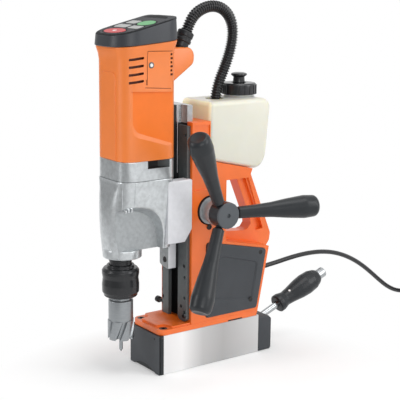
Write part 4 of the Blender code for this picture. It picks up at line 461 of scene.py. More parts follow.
def turnedForm(profile, at=(0, 0, 0), along=(0, 0, 1), steps=56, soft=3):
    # The profile is an open line of (radius, height), and its inner corners may carry a rounding.
    line = rounded([profile[0][:2], *profile[1:-1], profile[-1][:2]], soft)
    form = bmesh.new()
    points = [form.verts.new((max(0.0, radius), 0, height)) for radius, height in line]
    edges = [form.edges.new(pair) for pair in zip(points, points[1:])]
    bmesh.ops.spin(
        form, geom=points + edges, axis=(0, 0, 1), cent=(0, 0, 0),
        angle=math.tau, steps=steps, use_merge=True,
    )
    bmesh.ops.remove_doubles(form, verts=form.verts, dist=1e-6)
    bmesh.ops.recalc_face_normals(form, faces=form.faces)
    turn = Vector((0, 0, 1)).rotation_difference(Vector(along)).to_matrix().to_4x4()
    bmesh.ops.transform(form, matrix=Matrix.Translation(at) @ turn, verts=form.verts)
    return form


def rodForm(radius, low, high, at, along=(0, 0, 1), steps=24, taper=0.0, dome=0.0):
    return turnedForm([(0, low), (radius, low), (radius - taper, high), (0, high + dome)], at, along, steps)


def slabForm(outline, axis, low, high, edge=0.0, segments=2, ends=(True, True)):
    # The outline runs along the other two axes; a bevel may go round either end.
    number = "xyz".index(axis)

    def place(flat, level):
        row = list(flat)
        row.insert(number, level)
        return row

    form = bmesh.new()
    face = form.faces.new([form.verts.new(place(point, low)) for point in outline])
    grown = bmesh.ops.extrude_face_region(form, geom=[face])
    raised = [item for item in grown["geom"] if isinstance(item, bmesh.types.BMVert)]
    bmesh.ops.translate(form, verts=raised, vec=place((0, 0), high - low))
    bmesh.ops.recalc_face_normals(form, faces=form.faces)
    if edge:
        levels = [level for level, use in zip((low, high), ends) if use]
        rim = [
            item for item in form.edges
            if any(all(abs(point.co[number] - level) < 1e-7 for point in item.verts) for level in levels)
        ]
        bevelled(form, rim, edge, segments)
    return form


def cornerForm(axis, span, middle, radii, far, turns=40):
    # What lies outside a quarter of an oval, as far as one outer corner.
    arc = ovalLine(middle, radii, turns)[: turns // 4 + 1]
    return slabForm([far, (far[0], middle[1]), *arc, (middle[0], far[1])], axis, *span)


def boxForm(low, high, edge=0.0):
    form = bmesh.new()
    low, high = Vector(low), Vector(high)
    place = Matrix.Translation((low + high) / 2) @ Matrix.Diagonal((*(high - low), 1))
    bmesh.ops.create_cube(form, size=1, matrix=place)
    return bevelled(form, form.edges[:], edge, 2) if edge else form


def loftForm(loops):
    form = bmesh.new()
    rings = []
    for loop in loops:
        points = [form.verts.new(point) for point in loop]
        rings.append((points, [form.edges.new(pair) for pair in zip(points, points[1:] + points[:1])]))
    for lower, upper in zip(rings, rings[1:]):
        bmesh.ops.bridge_loops(form, edges=lower[1] + upper[1])
    form.faces.new(rings[0][0])
    form.faces.new(rings[-1][0])
    bmesh.ops.recalc_face_normals(form, faces=form.faces)
    return form


def joinedForm(*forms):
    whole = bmesh.new()
    for form in forms:
        mesh = bpy.data.meshes.new("joining")
        form.to_mesh(mesh)
        form.free()
        whole.from_mesh(mesh)
        bpy.data.meshes.remove(mesh)
    return whole


def mirrored(form):
    bmesh.ops.transform(form, matrix=Matrix.Diagonal((-1, 1, 1, 1)), verts=form.verts)
    bmesh.ops.reverse_faces(form, faces=form.faces)
    return form


def sliced(form, at, along):
    geom = form.verts[:] + form.edges[:] + form.faces[:]
    bmesh.ops.bisect_plane(form, geom=geom, plane_co=at, plane_no=along)
    return form


def painted(form, rule):
    form.normal_update()
    for face in form.faces:
        face.material_index = int(rule(face))
    return form


def meshObject(name, form):
    bmesh.ops.recalc_face_normals(form, faces=form.faces)
    mesh = bpy.data.meshes.new(name)
    form.to_mesh(mesh)
    form.free()
    return addObject(name, mesh)


def cut(form, number=0):
    return "DIFFERENCE", form, number


def weld(form, number=0):
    return "UNION", form, number


def carved(form, *steps):
    # Cuts and welds one after another; the number is the material of the faces that each leaves.
    base = meshObject("carving", form)
    tools = []
    for operation, other, number in steps:
        for face in other.faces:
            face.material_index = number
        tools.append(meshObject("cutter", other))
        modifier = base.modifiers.new("step", "BOOLEAN")
        modifier.operation = operation
        modifier.solver = "EXACT"
        modifier.object = tools[-1]
    bpy.context.view_layer.update()
    graph = bpy.context.evaluated_depsgraph_get()
    result = bmesh.new()
    result.from_mesh(bpy.data.meshes.new_from_object(base.evaluated_get(graph)))
    for item in tools + [base]:
        bpy.data.objects.remove(item)
    bmesh.ops.remove_doubles(result, verts=result.verts, dist=1e-6)
    return result


def nodeForm(node):
    # A copy of a solid's mesh, with its flat faces made whole.
    form = bmesh.new()
    form.from_mesh(nodes[node].data)
    bmesh.ops.remove_doubles(form, verts=form.verts, dist=2e-6)
    bmesh.ops.dissolve_limit(form, angle_limit=math.radians(0.6), verts=form.verts, edges=form.edges)
    return form


def shown(name, form, finishes, smooth=32):
    piece = meshObject(name, form)
    for item in finishes if isinstance(finishes, list) else [finishes]:
        piece.data.materials.append(item)
    piece.data.shade_smooth()
    piece.data.set_sharp_from_angle(angle=math.radians(smooth))
    return piece


def standsFor(piece, *names):
    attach(piece, bodyOf[names[0]])
    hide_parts(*names)
    return piece


def replacing(node, form, finishes, smooth=32, edge=0.0, segments=2):
    piece = shown(node + "_dressed", form, finishes, smooth)
    if edge:
        soft = piece.modifiers.new("edge", "BEVEL")
        soft.width = edge
        soft.segments = segments
        soft.limit_method = "ANGLE"
        soft.angle_limit = sharpTurn
        soft.material = -1
    return standsFor(piece, node)


def dressed(node, finishes, edge=0.0, segments=2):
    return replacing(node, nodeForm(node), finishes, edge=edge, segments=segments)


def detail(name, form, finishes, body, slot):
    piece = shown(name, form, finishes)
    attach(piece, body)


# Cords

cordParts = {
    "radius": 0.0042,
    "start": Vector((-0.024, 0.14626, 0.12543)),
    "along": leaning(8),
    "straight": 0.022,
    "route": [
        (-0.0242, 0.196, 0.1312), (-0.025, 0.225, 0.1342), (-0.0265, 0.255, 0.1358), (-0.0285, 0.285, 0.1352),
        (-0.031, 0.315, 0.1318), (-0.034, 0.345, 0.125), (-0.0370, 0.375, 0.1144), (-0.0402, 0.405, 0.1000),
        (-0.0434, 0.434, 0.0824), (-0.0464, 0.461, 0.0632), (-0.0489, 0.486, 0.0444), (-0.0509, 0.51, 0.0278),
        (-0.0524, 0.533, 0.016), (-0.0533, 0.556, 0.0091), (-0.0537, 0.578, 0.0064), (-0.05385, 0.6, 0.006),
    ],
    "tail": [(0.20, 0.02), (0.38, 0.16), (0.58, 0.52), (0.78, 0.86), (0.94, 1.0)],
    "tailLength": 0.088,
    "plugHeight": 0.0193,
    "insert": 0.006,
    "edge": 0.0004,
}
coil = {
    "centre": (0, 0.620), "layers": 4, "turns": 1.875, "inner": 0.0366,
    "pitch": 0.0092, "lift": 0.0060, "points": 24, "climb": 4,
}


def coilLine():
    # Each layer winds inwards or outwards in turn, and the cord climbs between layers.
    layerSteps = round(coil["turns"] * coil["points"])
    rows = []
    for layer in range(coil["layers"]):
        for index in range(layerSteps + 1):
            inward = index / layerSteps if layer % 2 else 1 - index / layerSteps
            rows.append((coil["inner"] + inward * coil["turns"] * coil["pitch"], layer))
        if layer < coil["layers"] - 1:
            for index in range(1, coil["climb"]):
                rows.append((rows[-1][0], layer + index / coil["climb"]))
    line = []
    for step, (radius, layer) in enumerate(rows):
        turn = math.pi - math.tau * step / coil["points"]
        x, y = coil["centre"]
        height = coil["lift"] + layer * coil["pitch"]
        line.append(Vector((x + radius * math.cos(turn), y + radius * math.sin(turn), height)))
    return line


def addCord():
    start = cordParts["start"]
    line = [start, start + cordParts["along"] * cordParts["straight"]]
    line += [Vector(point) for point in cordParts["route"]] + coilLine()
    end = line[-1]
    reach = cordParts["tailLength"]
    drop = cordParts["plugHeight"] - end.z
    for along, down in [*cordParts["tail"], (1 + cordParts["insert"] / reach, 1.0)]:
        line.append(end + Vector((0, along * reach, down * drop)))
    line = throughPoints(line, 4)
    piece = tube("mains_lead", line, cordParts["radius"], 5)
    piece.data.materials.append(rubber)
    standsFor(piece, "cord", "cord_coil")
    onCord = [dressed(node, rubber, cordParts["edge"]) for node in ("plug", "cord_tie")]
    print(f"mains lead {lengthOf(line):.3f} m")


addCord()

hoseParts = {
    "radius": 0.0096,
    "pitch": 0.0043,
    "base": Vector((0, -0.036, 0.527)),
    "along": leaning(64),
    "seat": 0.021,
    "rise": 0.0130,
    "arch": [
        (-0.0144, 0.5700), (-0.0052, 0.5797), (0.0064, 0.5862), (0.0185, 0.5898), (0.0310, 0.5904),
        (0.0450, 0.5870), (0.0570, 0.5785), (0.0650, 0.5660), (0.0684, 0.5510), (0.0676, 0.5350),
        (0.0637, 0.5185), (0.0577, 0.5020), (0.0506, 0.4860), (0.0432, 0.4700), (0.0378, 0.4530),
        (0.0350, 0.4350), (0.0337, 0.4150), (0.0335, 0.3850), (0.0335, 0.3702), (0.0335, 0.3450),
    ],
    "ribShape": [1.0, 0.97, 0.84, 0.76, 0.76, 0.84, 0.97],
}


def addHose():
    along = hoseParts["along"]
    start = hoseParts["base"] + along * hoseParts["seat"]
    route = [start + along * hoseParts["rise"] * share for share in (0, 0.5, 1)]
    line = throughPoints(route + [Vector((0, y, z)) for y, z in hoseParts["arch"]])
    length = lengthOf(line)
    shape = hoseParts["ribShape"]
    ribs = round(length / hoseParts["pitch"])
    guide = tube("hoseGuide", spacedOut(line, ribs * len(shape) + 1), hoseParts["radius"], 6)
    for index, point in enumerate(guide.data.splines[0].points):
        point.radius = shape[index % len(shape)]
    graph = bpy.context.evaluated_depsgraph_get()
    form = bmesh.new()
    form.from_mesh(bpy.data.meshes.new_from_object(guide.evaluated_get(graph)))
    bpy.data.objects.remove(guide)
    bmesh.ops.remove_doubles(form, verts=form.verts, dist=1e-6)
    piece = shown("coolant_hose", form, hoseBlack, 60)
    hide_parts("ribbed_hose")
    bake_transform(piece)
    print(f"coolant hose {length:.3f} m, {ribs} ribs")


addHose()


# Foot and stand

foot = {
    "bandEnd": -0.0952,
    "lowEdge": 0.0045,
    "sole": 0.0007,
    "poleShare": (0.9581, 0.985, 1),
    "coverEdge": 0.0012,
    "capEdge": 0.0020,
    "dot": {"radius": 0.0016, "high": 0.0003, "at": (0.0300, -0.1043, 0.0595), "taper": 0.0002},
}


def addFoot():
    # The steel case reaches down past the pole plate, and its front end is a black cap.
    form = nodeForm("foot_shell")
    for point in form.verts:
        if point.co.z < foot["lowEdge"]:
            point.co.z = foot["sole"]
    sliced(form, (0, foot["bandEnd"], 0), (0, 1, 0))
    painted(form, lambda face: face.calc_center_median().y < foot["bandEnd"])
    replacing("foot_shell", form, [groundSteel, satinBlack])
    form = nodeForm("pole_plate")
    bmesh.ops.scale(form, vec=foot["poleShare"], verts=form.verts)
    replacing("pole_plate", form, blackSteel)
    form = painted(nodeForm("front_cover"), lambda face: face.normal.x > 0.5)
    replacing("front_cover", form, [charcoal, satinBlack], edge=foot["coverEdge"], segments=4)
    form = nodeForm("rear_cap")
    rim = [edge for edge in form.edges if edge.is_manifold and edge.is_convex]
    rim = [edge for edge in rim if edge.calc_face_angle() > sharpTurn]
    replacing("rear_cap", bevelled(form, rim, foot["capEdge"], 3), charcoal)
    dressed("magnet_pack", blackSteel)
    # A thin black disc on the cover: painted shade of a small hole.
    dot = rodForm(low=0.0, along=(0, -1, 0), **foot["dot"])
    detail("cover_dot", dot, hollowShade, bodyOf["front_cover"], "black_plastic")


stand = {
    "half": 0.044,
    "front": -0.101,
    "corner": 0.013,
    "cornerSpan": (0.060, 0.090),
    "past": 0.007,  # How far a cutter reaches past the plate.
    "edge": 0.0009,
    "plateau": [
        (0.0418, -0.040), (0.0418, -0.0775, 0.004), (0.0235, -0.0790, 0.009), (0.0225, -0.0955, 0.003),
        (-0.0225, -0.0955, 0.003), (-0.0235, -0.0790, 0.009), (-0.0418, -0.0775, 0.004), (-0.0418, -0.040),
    ],
    "plateauSpan": (0.0750, 0.0792),
    "panel": ((-0.0365, 0.300), (-0.0065, 0.4055), 0.002, 4),
    "panelSpan": (0.0412, 0.0500),
    "channel": [
        (0.1165, 0.2085, 0.004), (0.1330, 0.2105, 0.003), (0.0930, 0.3053, 0.002), (0.0805, 0.3053, 0.002),
    ],
    "channelSpan": (0.0032, 0.0125),
    "guide": {"half": 0.0295, "front": -0.0408, "rear": -0.004, "low": 0.084},
    "guideScrew": (0.0046, 0.0022, (0.0435, -0.0067, 0.2369)),
    "plateBolt": (0.0036, 0.0032, (0.0390, 0.0965, 0.0762)),
    "plateSlot": ((0.0436, 0.035, 0.0676), (0.0443, 0.065, 0.0696)),
}


def screwForm(radius, height, at, along, steps=24):
    # A socket screw's head.
    socket = height * 0.4
    profile = [(0, 0.0), (radius, 0.0), (radius, height, radius * 0.2), (radius * 0.55, height)]
    return turnedForm(profile + [(radius * 0.5, socket), (0, socket)], at, along, steps)


def guideFace(face):
    # The walls of the carriage's guide are painted black: partly a black coating, partly painted shade down in
    # the slot.
    guide = stand["guide"]
    x, y, z = face.calc_center_median()
    inside = abs(x) < guide["half"] and guide["front"] < y < guide["rear"] and z > guide["low"]
    return inside and face.normal.z < 0.5


def addCasting():
    form = painted(nodeForm("stand_casting"), guideFace)
    steps = [
        weld(slabForm(rounded(stand["plateau"], 5), "z", *stand["plateauSpan"])),
        cut(slabForm(boxLine(*stand["panel"]), "x", *stand["panelSpan"])),
    ]
    corner, past = stand["corner"], stand["past"]
    for side in (-1, 1):
        middle = (side * (stand["half"] - corner), stand["front"] + corner)
        far = (side * (stand["half"] + past), stand["front"] - past)
        steps.append(cut(cornerForm("z", stand["cornerSpan"], middle, (side * corner, -corner), far)))
        span = sorted(side * level for level in stand["channelSpan"])
        steps.append(cut(slabForm(rounded(stand["channel"], 4), "x", *span)))
    replacing("stand_casting", carved(form, *steps), [orangePaint, slotBlackAndShade], edge=stand["edge"])


gibs = {
    "face": -0.0475,
    "leftSide": -0.0325,
    "holes": {"left": [(-0.0296, 0.108)], "right": [(0.0313, 0.174), (0.0235, 0.104)]},
    "holeRadius": 0.0029,
    "holeSpan": (-0.0010, 0.0020),
    "corner": {"middle": (0.0215, 0.0877), "radii": (-0.0077, -0.0077), "far": (0.010, 0.070), "turns": 36},
    "cornerSpan": (-0.060, -0.030),
    "bolt": (0.0352, 0.0905),
    "boltSize": 0.0042,
}


def gibHoles(side):
    at = [(x, gibs["face"], z) for x, z in gibs["holes"][side]]
    # The holes' walls are black: painted shade inside them.
    return [cut(rodForm(gibs["holeRadius"], *gibs["holeSpan"], place, (0, 1, 0)), 1) for place in at]


def addGibs():
    form = nodeForm("gib_left")
    for point in form.verts:
        point.co.x = max(point.co.x, gibs["leftSide"])
    replacing("gib_left", carved(form, *gibHoles("left")), [gibGrey, hollowShade])
    corner = cut(cornerForm("y", gibs["cornerSpan"], **gibs["corner"]))
    form = carved(nodeForm("gib_right"), corner, *gibHoles("right"))
    replacing("gib_right", form, [gibGrey, hollowShade])


sideCover = {
    "back": 0.0378,
    "face": 0.0462,
    "edge": 0.0018,
    "panel": [
        (-0.0060, 0.1130, 0.006), (0.0105, 0.1870, 0.012), (0.0960, 0.1640, 0.008), (0.0845, 0.0970, 0.006),
    ],
    "panelLevels": [(0.94, 0.0440), (1.0, 0.0462), (1.0, 0.0500)],
    "screws": [(0.0461, 0.101, 0.1796), (0.0461, 0.0814, 0.0988)],
    "screwSize": (0.0042, 0.0005),
}


def addSideCover():
    # The cover's own outline, with a sunk panel that has sloping walls.
    form = nodeForm("side_cover")
    back = max((face for face in form.faces if face.normal.x < -0.9), key=lambda face: face.calc_area())
    outline = [(point.co.y, point.co.z) for point in back.verts]
    form.free()
    panel = [Vector(corner) for corner in sideCover["panel"]]
    middle = sum(panel, Vector((0, 0, 0))) / len(panel)
    middle.z = 0  # The third value is a corner's radius.
    loops = []
    for share, x in sideCover["panelLevels"]:
        corners = [tuple(middle + (corner - middle) * share) for corner in panel]
        loops.append([(x, y, z) for y, z in rounded(corners)])
    slab = slabForm(outline, "x", sideCover["back"], sideCover["face"], sideCover["edge"], 3, (False, True))
    replacing("side_cover", carved(slab, cut(loftForm(loops))), charcoal, 30)


feedBearing = {"centre": Vector((0, -0.0055, 0.2650)), "radius": 0.0226, "from": 0.043}


def addFeedBearing():
    # The flange is drawn in to its narrower rim.
    form = nodeForm("feed_bearing")
    for point in form.verts:
        arm = point.co - feedBearing["centre"]
        arm.x = 0
        if point.co.x > feedBearing["from"] and arm.length > feedBearing["radius"]:
            point.co -= arm.normalized() * (arm.length - feedBearing["radius"])
    # Its near face takes the darker cast grey: painted shade under the hub and handles.
    painted(form, lambda face: face.normal.x > 0.5)
    replacing("feed_bearing", form, [blackSteel, castShade])


def addStand():
    addCasting()
    addGibs()
    addSideCover()
    dressed("control_board", boardGreen)
    dressed("base_bolt_left", blackSteel, 0.0003)
    dressed("base_bolt_right", blackSteel, 0.0003)
    dressed("guide_lock_knob", blackSteel, 0.0004)
    addFeedBearing()
    dressed("cord_gland", rubber, 0.0003)
    x, z = gibs["bolt"]
    bolt = screwForm(gibs["boltSize"], gibs["boltSize"], (x, gibs["face"], z), (0, -1, 0), 6)
    detail("gib_bolt", bolt, blackSteel, "stand", "blackened_steel")
    # The screw heads are black: painted shade of the deep holes they sit in.
    screws = [screwForm(*sideCover["screwSize"], at, (1, 0, 0)) for at in sideCover["screws"]]
    screws.append(screwForm(*stand["guideScrew"], (1, 0, 0)))
    detail("cover_screws", joinedForm(*screws), hollowShade, "stand", "blackened_steel")
    bolt = screwForm(*stand["plateBolt"], (0, 0, 1))
    detail("plate_bolt", bolt, brightSteel, "stand", "ground_steel")
    # A black strip: painted shade of a slot in the plate's side.
    detail("plate_slot", boxForm(*stand["plateSlot"]), hollowShade, "stand", "black_plastic")


addFoot()
addStand()
print("foot and stand dressed")


# Carriage

carriage = {
    "upper": 0.4085,
    "lower": 0.2260,
    "step": -0.0515,
    "neck": {"front": -0.048, "half": 0.020},
    "corner": {"middle": (0.0060, 0.1790), "radii": (-0.0200, -0.0102), "far": (-0.0200, 0.1600)},
    "cornerFront": -0.0700,
    # Corners and rounding of the strip that paints the edge's highlight.
    "edge": ((0.0131, -0.0500, 0.3270), (0.0139, -0.0491, 0.4365), 0.0002),
    "hole": {"radius": 0.0050, "high": 0.0003, "at": (0.0034, -0.0665, 0.1822), "taper": 0.0002, "steps": 28},
}


def carriageFace(face):
    # Grey at the upper end, with a bright neck, and bright on the lower end's front corner; black elsewhere.
    # The grey is the darker cast grey on faces that look forward or outward, painted shade, and the bright
    # sides beside it are painted light.
    bright, black, milled, shade = range(4)
    centre, normal = face.calc_center_median(), face.normal
    if centre.z > carriage["upper"]:
        if centre.y < carriage["neck"]["front"]:
            return black
        outside = abs(normal.x) > 0.5 and abs(centre.x) > carriage["neck"]["half"]
        return shade if normal.y < -0.5 or outside else bright
    if centre.z > carriage["lower"]:
        return black
    if normal.y < -0.5:
        return shade
    return milled if normal.x > 0.5 and centre.y < carriage["step"] else black


def addCarriage():
    corner = cornerForm("y", (carriage["cornerFront"], carriage["step"]), **carriage["corner"])
    form = carved(nodeForm("carriage_bar"), cut(corner))
    sliced(form, (0, 0, carriage["lower"]), (0, 0, 1))
    sliced(form, (0, 0, carriage["upper"]), (0, 0, 1))
    sliced(form, (0, carriage["step"], 0), (0, 1, 0))
    painted(form, carriageFace)
    replacing("carriage_bar", form, [brightSteel, blackSteel, milledMetal, castShade])
    # A thin strip of bright metal along the bar's edge: a painted highlight.
    detail("carriage_edge_highlight", boxForm(*carriage["edge"]), milledMetal, bodyOf["carriage_bar"], "ground_steel")
    # A black disc: painted shade of the hole in the bar's lower end.
    hole = rodForm(low=0.0, along=(0, -1, 0), **carriage["hole"])
    detail("carriage_hole", hole, hollowShade, bodyOf["carriage_bar"], "black_plastic")
    dressed("pinion_shaft", brightSteel)


addCarriage()


# Capstan

capstan = {
    "cross": Vector((0.077, -0.0055, 0.265)),
    "lean": math.radians(16.4),
    "first": math.radians(1.3),
    "collar": 0.0695,
    "handles": 3,
    "profile": [
        (0, 0.0115), (0.0055, 0.0115), (0.0055, 0.024, 0.001), (0.0098, 0.028, 0.002), (0.0104, 0.055, 0.03),
        (0.0124, 0.085, 0.05), (0.0160, 0.112, 0.04), (0.0191, 0.1430, 0.024), (0.0178, 0.1625, 0.009),
        (0.0128, 0.1668, 0.003), (0.0092, 0.1662, 0.0015), (0, 0.1645),
    ],
}


def addCapstan():
    form = sliced(nodeForm("capstan_hub"), (capstan["collar"], 0, 0), (1, 0, 0))
    # The collar takes the darker cast grey: painted shade.
    painted(form, lambda face: face.calc_center_median().x < capstan["collar"])
    replacing("capstan_hub", form, [satinBlack, castShade])
    dressed("hub_disc", hubGrey, 0.0003)
    lean = capstan["lean"]
    for number in range(capstan["handles"]):
        turn = capstan["first"] + math.tau * number / capstan["handles"]
        along = Vector((math.sin(lean), math.cos(lean) * math.cos(turn), math.cos(lean) * math.sin(turn)))
        form = turnedForm(capstan["profile"], capstan["cross"], along, soft=5)
        replacing(f"handle_{number + 1}", form, satinBlack, 40)


addCapstan()


# Magnet lever

lever = {
    "at": Vector((0, 0.117, 0.036)),
    "along": leaning(22),
    "grip": [
        (0.0063, 0.066), (0.0140, 0.066, 0.0008), (0.0163, 0.068, 0.001), (0.0163, 0.075, 0.003),
        (0.0132, 0.086, 0.008), (0.0145, 0.099, 0.02), (0.0182, 0.121, 0.03), (0.0195, 0.137, 0.02),
        (0.0182, 0.154, 0.008), (0.0145, 0.164, 0.002), (0.0118, 0.168, 0.0008), (0.0098, 0.168),
        (0.0098, 0.158), (0.0063, 0.158), (0.0063, 0.066),
    ],
    "button": [
        (0, 0.1545), (0.0057, 0.1545), (0.0057, 0.1626), (0.0095, 0.1626),
        (0.0095, 0.184, 0.0018), (0, 0.184),
    ],
    "pin": {"radius": 0.0022, "high": 0.0008, "taper": 0.0002, "dome": 0.0002},
    "pinAlong": 0.097,
    "pinOut": 0.0140,
    "pinTurn": math.radians(63),
}


def addLever():
    at, along, turn = lever["at"], lever["along"], lever["pinTurn"]
    dressed("lever_shaft", brightSteel)
    replacing("lever_grip", turnedForm(lever["grip"], at, along, soft=4), satinBlack, 40)
    out = Vector((math.cos(turn), -math.sin(turn) * along.z, math.sin(turn) * along.y))
    place = at + along * lever["pinAlong"] + out * lever["pinOut"]
    # The steel pin is drawn in matt white: a painted glint.
    pin = rodForm(low=0.0, at=place, along=out, **lever["pin"])
    detail("grip_pin", pin, markAndGlintWhite, bodyOf["lever_grip"], "ground_steel")
    replacing("lever_button", turnedForm(lever["button"], at, along, soft=4), brightSteel, 40)


addLever()
print("carriage, capstan and lever made")


# Motor, gear housing and head

motor = {
    "half": 0.045, "front": -0.169, "rear": -0.068, "frontCorner": 0.022, "rearCorner": 0.022,
    "low": 0.3575, "top": 0.533, "slope": math.tan(math.radians(5)),
    "footRings": [(-0.0006, 0.0), (0.0, 0.0008)],
    "topRings": [(0.0, 0.022), (0.0016, 0.012), (0.0045, 0.003), (0.0045, 0.0006), (0.0039, 0.0)],
    "lobe": [
        (-0.078, 0.527), (-0.015, 0.528, 0.015), (-0.017, 0.501, 0.012), (-0.063, 0.469), (-0.078, 0.469),
    ],
    "lobeHalf": 0.013,
    "lobeEdge": 0.004,
    "strip": ((-0.0205, 0.3590), (0.0205, 0.494), (0.001, 0.001, 0.009, 0.009)),
    "stripSpan": (-0.1700, -0.165),
    "stripEdge": 0.0006,
    "slots": {
        "count": 4, "top": 0.5172, "pitch": 0.0116, "high": 0.0038, "front": -0.1585, "rear": -0.1335,
        "corners": (0.0008, 0.0016, 0.0016, 0.0008), "tilt": math.tan(math.radians(5.5)),
        "span": (0.0395, 0.060),
    },
    "seams": [
        ((-0.1275, 0.5265), (-0.1275, 0.4750)), ((-0.1275, 0.5265), (-0.0700, 0.5250)),
        ((-0.1310, 0.4712), (-0.0700, 0.4668)), ((-0.1290, 0.4834), (-0.1290, 0.4750)),
    ],
    "seamWide": 0.0009,
    "seamDeep": 0.0012,
    "seamOut": 0.003,
    "notches": {
        "count": 6, "top": 0.522, "pitch": 0.0062, "high": 0.0034, "front": -0.0845, "rear": -0.0800,
        "second": 0.0012, "span": (0.0405, 0.060),
    },
    "screwAt": (0.0449, -0.120, 0.505),
    "screwSeat": [(0, 0.0), (0.0050, 0.0), (0.0048, 0.0004), (0.0030, 0.0005), (0.0028, 0.0002), (0, 0.0002)],
    "screw": [
        (0, 0.0), (0.0027, 0.0), (0.0027, 0.0012, 0.0005), (0.0012, 0.0013), (0.0010, 0.0007), (0, 0.0007),
    ],
}
recess = {
    "front": -0.1515, "low": 0.405, "corner": 0.020, "rear": -0.060, "drop": 0.030, "tops": (0.4668, 0.4612),
    "wall": {"front": 0.0095, "low": 0.0050, "corner": 0.006},  # How far the sloping walls spread.
    "levels": [(0.0, -0.0032), (1.0, 0.0), (1.0, 0.004)],
}


def plan(shape, grow=0.0):
    # A housing's outline from above, grown by the same amount all round.
    half, front, rear = shape["half"] + grow, shape["front"] - grow, shape["rear"] + grow
    first, last = shape["frontCorner"] + grow, shape["rearCorner"] + grow
    return boxLine((-half, front), (half, rear), (first, first, last, last), 9)


def seamAt(y):
    # Height of the sloping seam between motor and head.
    return motor["top"] + (y - motor["front"]) * motor["slope"]


def lineCut(start, end):
    # A thin groove on the side face between two (y, z) points.
    start, end = Vector((motor["half"], *start)), Vector((motor["half"], *end))
    along = end - start
    half, wide = along.length / 2, motor["seamWide"] / 2
    form = boxForm((-motor["seamDeep"], -half, -wide), (motor["seamOut"], half, wide))
    turn = Matrix.Rotation(math.atan2(along.z, along.y), 4, "X")
    bmesh.ops.transform(form, matrix=Matrix.Translation((start + end) / 2) @ turn, verts=form.verts)
    return form


def slotCut(number):
    slots = motor["slots"]
    high = slots["top"] - number * slots["pitch"]
    front, rear = slots["front"], slots["rear"]
    outline = boxLine((front, high - slots["high"]), (rear, high), slots["corners"], 4)
    tilted = [(y, z + (y - (front + rear) / 2) * slots["tilt"]) for y, z in outline]
    return slabForm(tilted, "x", *slots["span"])


def notchCut(number):
    # A row of short notches near the rear corner; every second one is longer.
    notches = motor["notches"]
    high = notches["top"] - number * notches["pitch"]
    rear = notches["rear"] + notches["second"] * (number % 2)
    inside, outside = notches["span"]
    return boxForm((inside, notches["front"], high - notches["high"]), (outside, rear, high))


def sideRecess():
    # The sunk panel on the motor's side, with sloping walls and a round lower front corner.
    loops = []
    wall, rear = recess["wall"], recess["rear"]
    frontTop, rearTop = recess["tops"]
    for share, out in recess["levels"]:
        front = recess["front"] - wall["front"] * share
        low = recess["low"] - wall["low"] * share
        radius = recess["corner"] + wall["corner"] * share
        corners = [(front, frontTop), (front, low, radius), (rear, low - recess["drop"]), (rear, rearTop)]
        loops.append([(motor["half"] + out, y, z) for y, z in rounded(corners, 7)])
    return loftForm(loops)


def motorCuts():
    # Everything that is cut into one side, with the number of its finish. The dark brown is painted shade
    # inside the slots and notches, and the dark joints of the seams.
    forms = [(slotCut(number), 1) for number in range(motor["slots"]["count"])]
    forms.append((sideRecess(), 2))
    forms += [(lineCut(*ends), 1) for ends in motor["seams"]]
    return forms + [(notchCut(number), 1) for number in range(motor["notches"]["count"])]


def motorFace(face):
    # Only the recess's floor is the deeper orange, and its sloping walls aren't.
    wall = face.material_index == 2 and abs(face.normal.x) < 0.995
    return 0 if wall else face.material_index


def addMotor():
    loops = [[(x, y, motor["low"] + up) for x, y in plan(motor, grow)] for grow, up in motor["footRings"]]
    loops += [[(x, y, seamAt(y) - down) for x, y in plan(motor, grow)] for grow, down in motor["topRings"]]
    half = motor["lobeHalf"]
    lobe = slabForm(rounded(motor["lobe"], 8), "x", -half, half, motor["lobeEdge"], 4)
    outline = boxLine(*motor["strip"])
    strip = slabForm(outline, "y", *motor["stripSpan"], motor["stripEdge"], 2, (True, False))
    near = [cut(form, number) for form, number in motorCuts()]
    far = [cut(mirrored(form), number) for form, number in motorCuts()]
    form = carved(loftForm(loops), weld(lobe), *near, *far, weld(strip))
    painted(form, motorFace)
    replacing("motor_housing", form, [orangePlastic, shadeAndJointBrown, orangeDeep], 20)
    at = motor["screwAt"]
    seat = turnedForm(motor["screwSeat"], at, (1, 0, 0), 32)
    detail("motor_screw_seat", seat, gibGrey, "drill", "black_plastic")
    # The steel screw is drawn in matt white: a painted glint.
    detail("motor_screw", turnedForm(motor["screw"], at, (1, 0, 0), 32), markAndGlintWhite, "drill", "ground_steel")


flange = {
    "rings": [(-0.0004, 0.3263), (0.0002, 0.3269), (0.0002, 0.3566), (-0.0004, 0.3572)],
    "window": [(0.030, -0.1265), (0.060, -0.1265), (0.060, -0.0850), (0.0455, -0.0850), (0.030, -0.0985)],
    "windowSpan": (0.3450, 0.3580),
}


def flangeFace(face):
    # The window's walls are black, painted shade in the hollow; its slanted wall catches the light, so it
    # takes a mid grey, painted shade lighter than the black.
    slanted = min(abs(face.normal.x), abs(face.normal.y)) > 0.3
    return 2 if face.material_index and slanted else face.material_index


def addFlange():
    loops = [[(x, y, z) for x, y in plan(motor, grow)] for grow, z in flange["rings"]]
    form = carved(loftForm(loops), cut(slabForm(flange["window"], "z", *flange["windowSpan"]), 1))
    replacing("motor_flange", painted(form, flangeFace), [castMetal, hollowShade, gibGrey], 30)


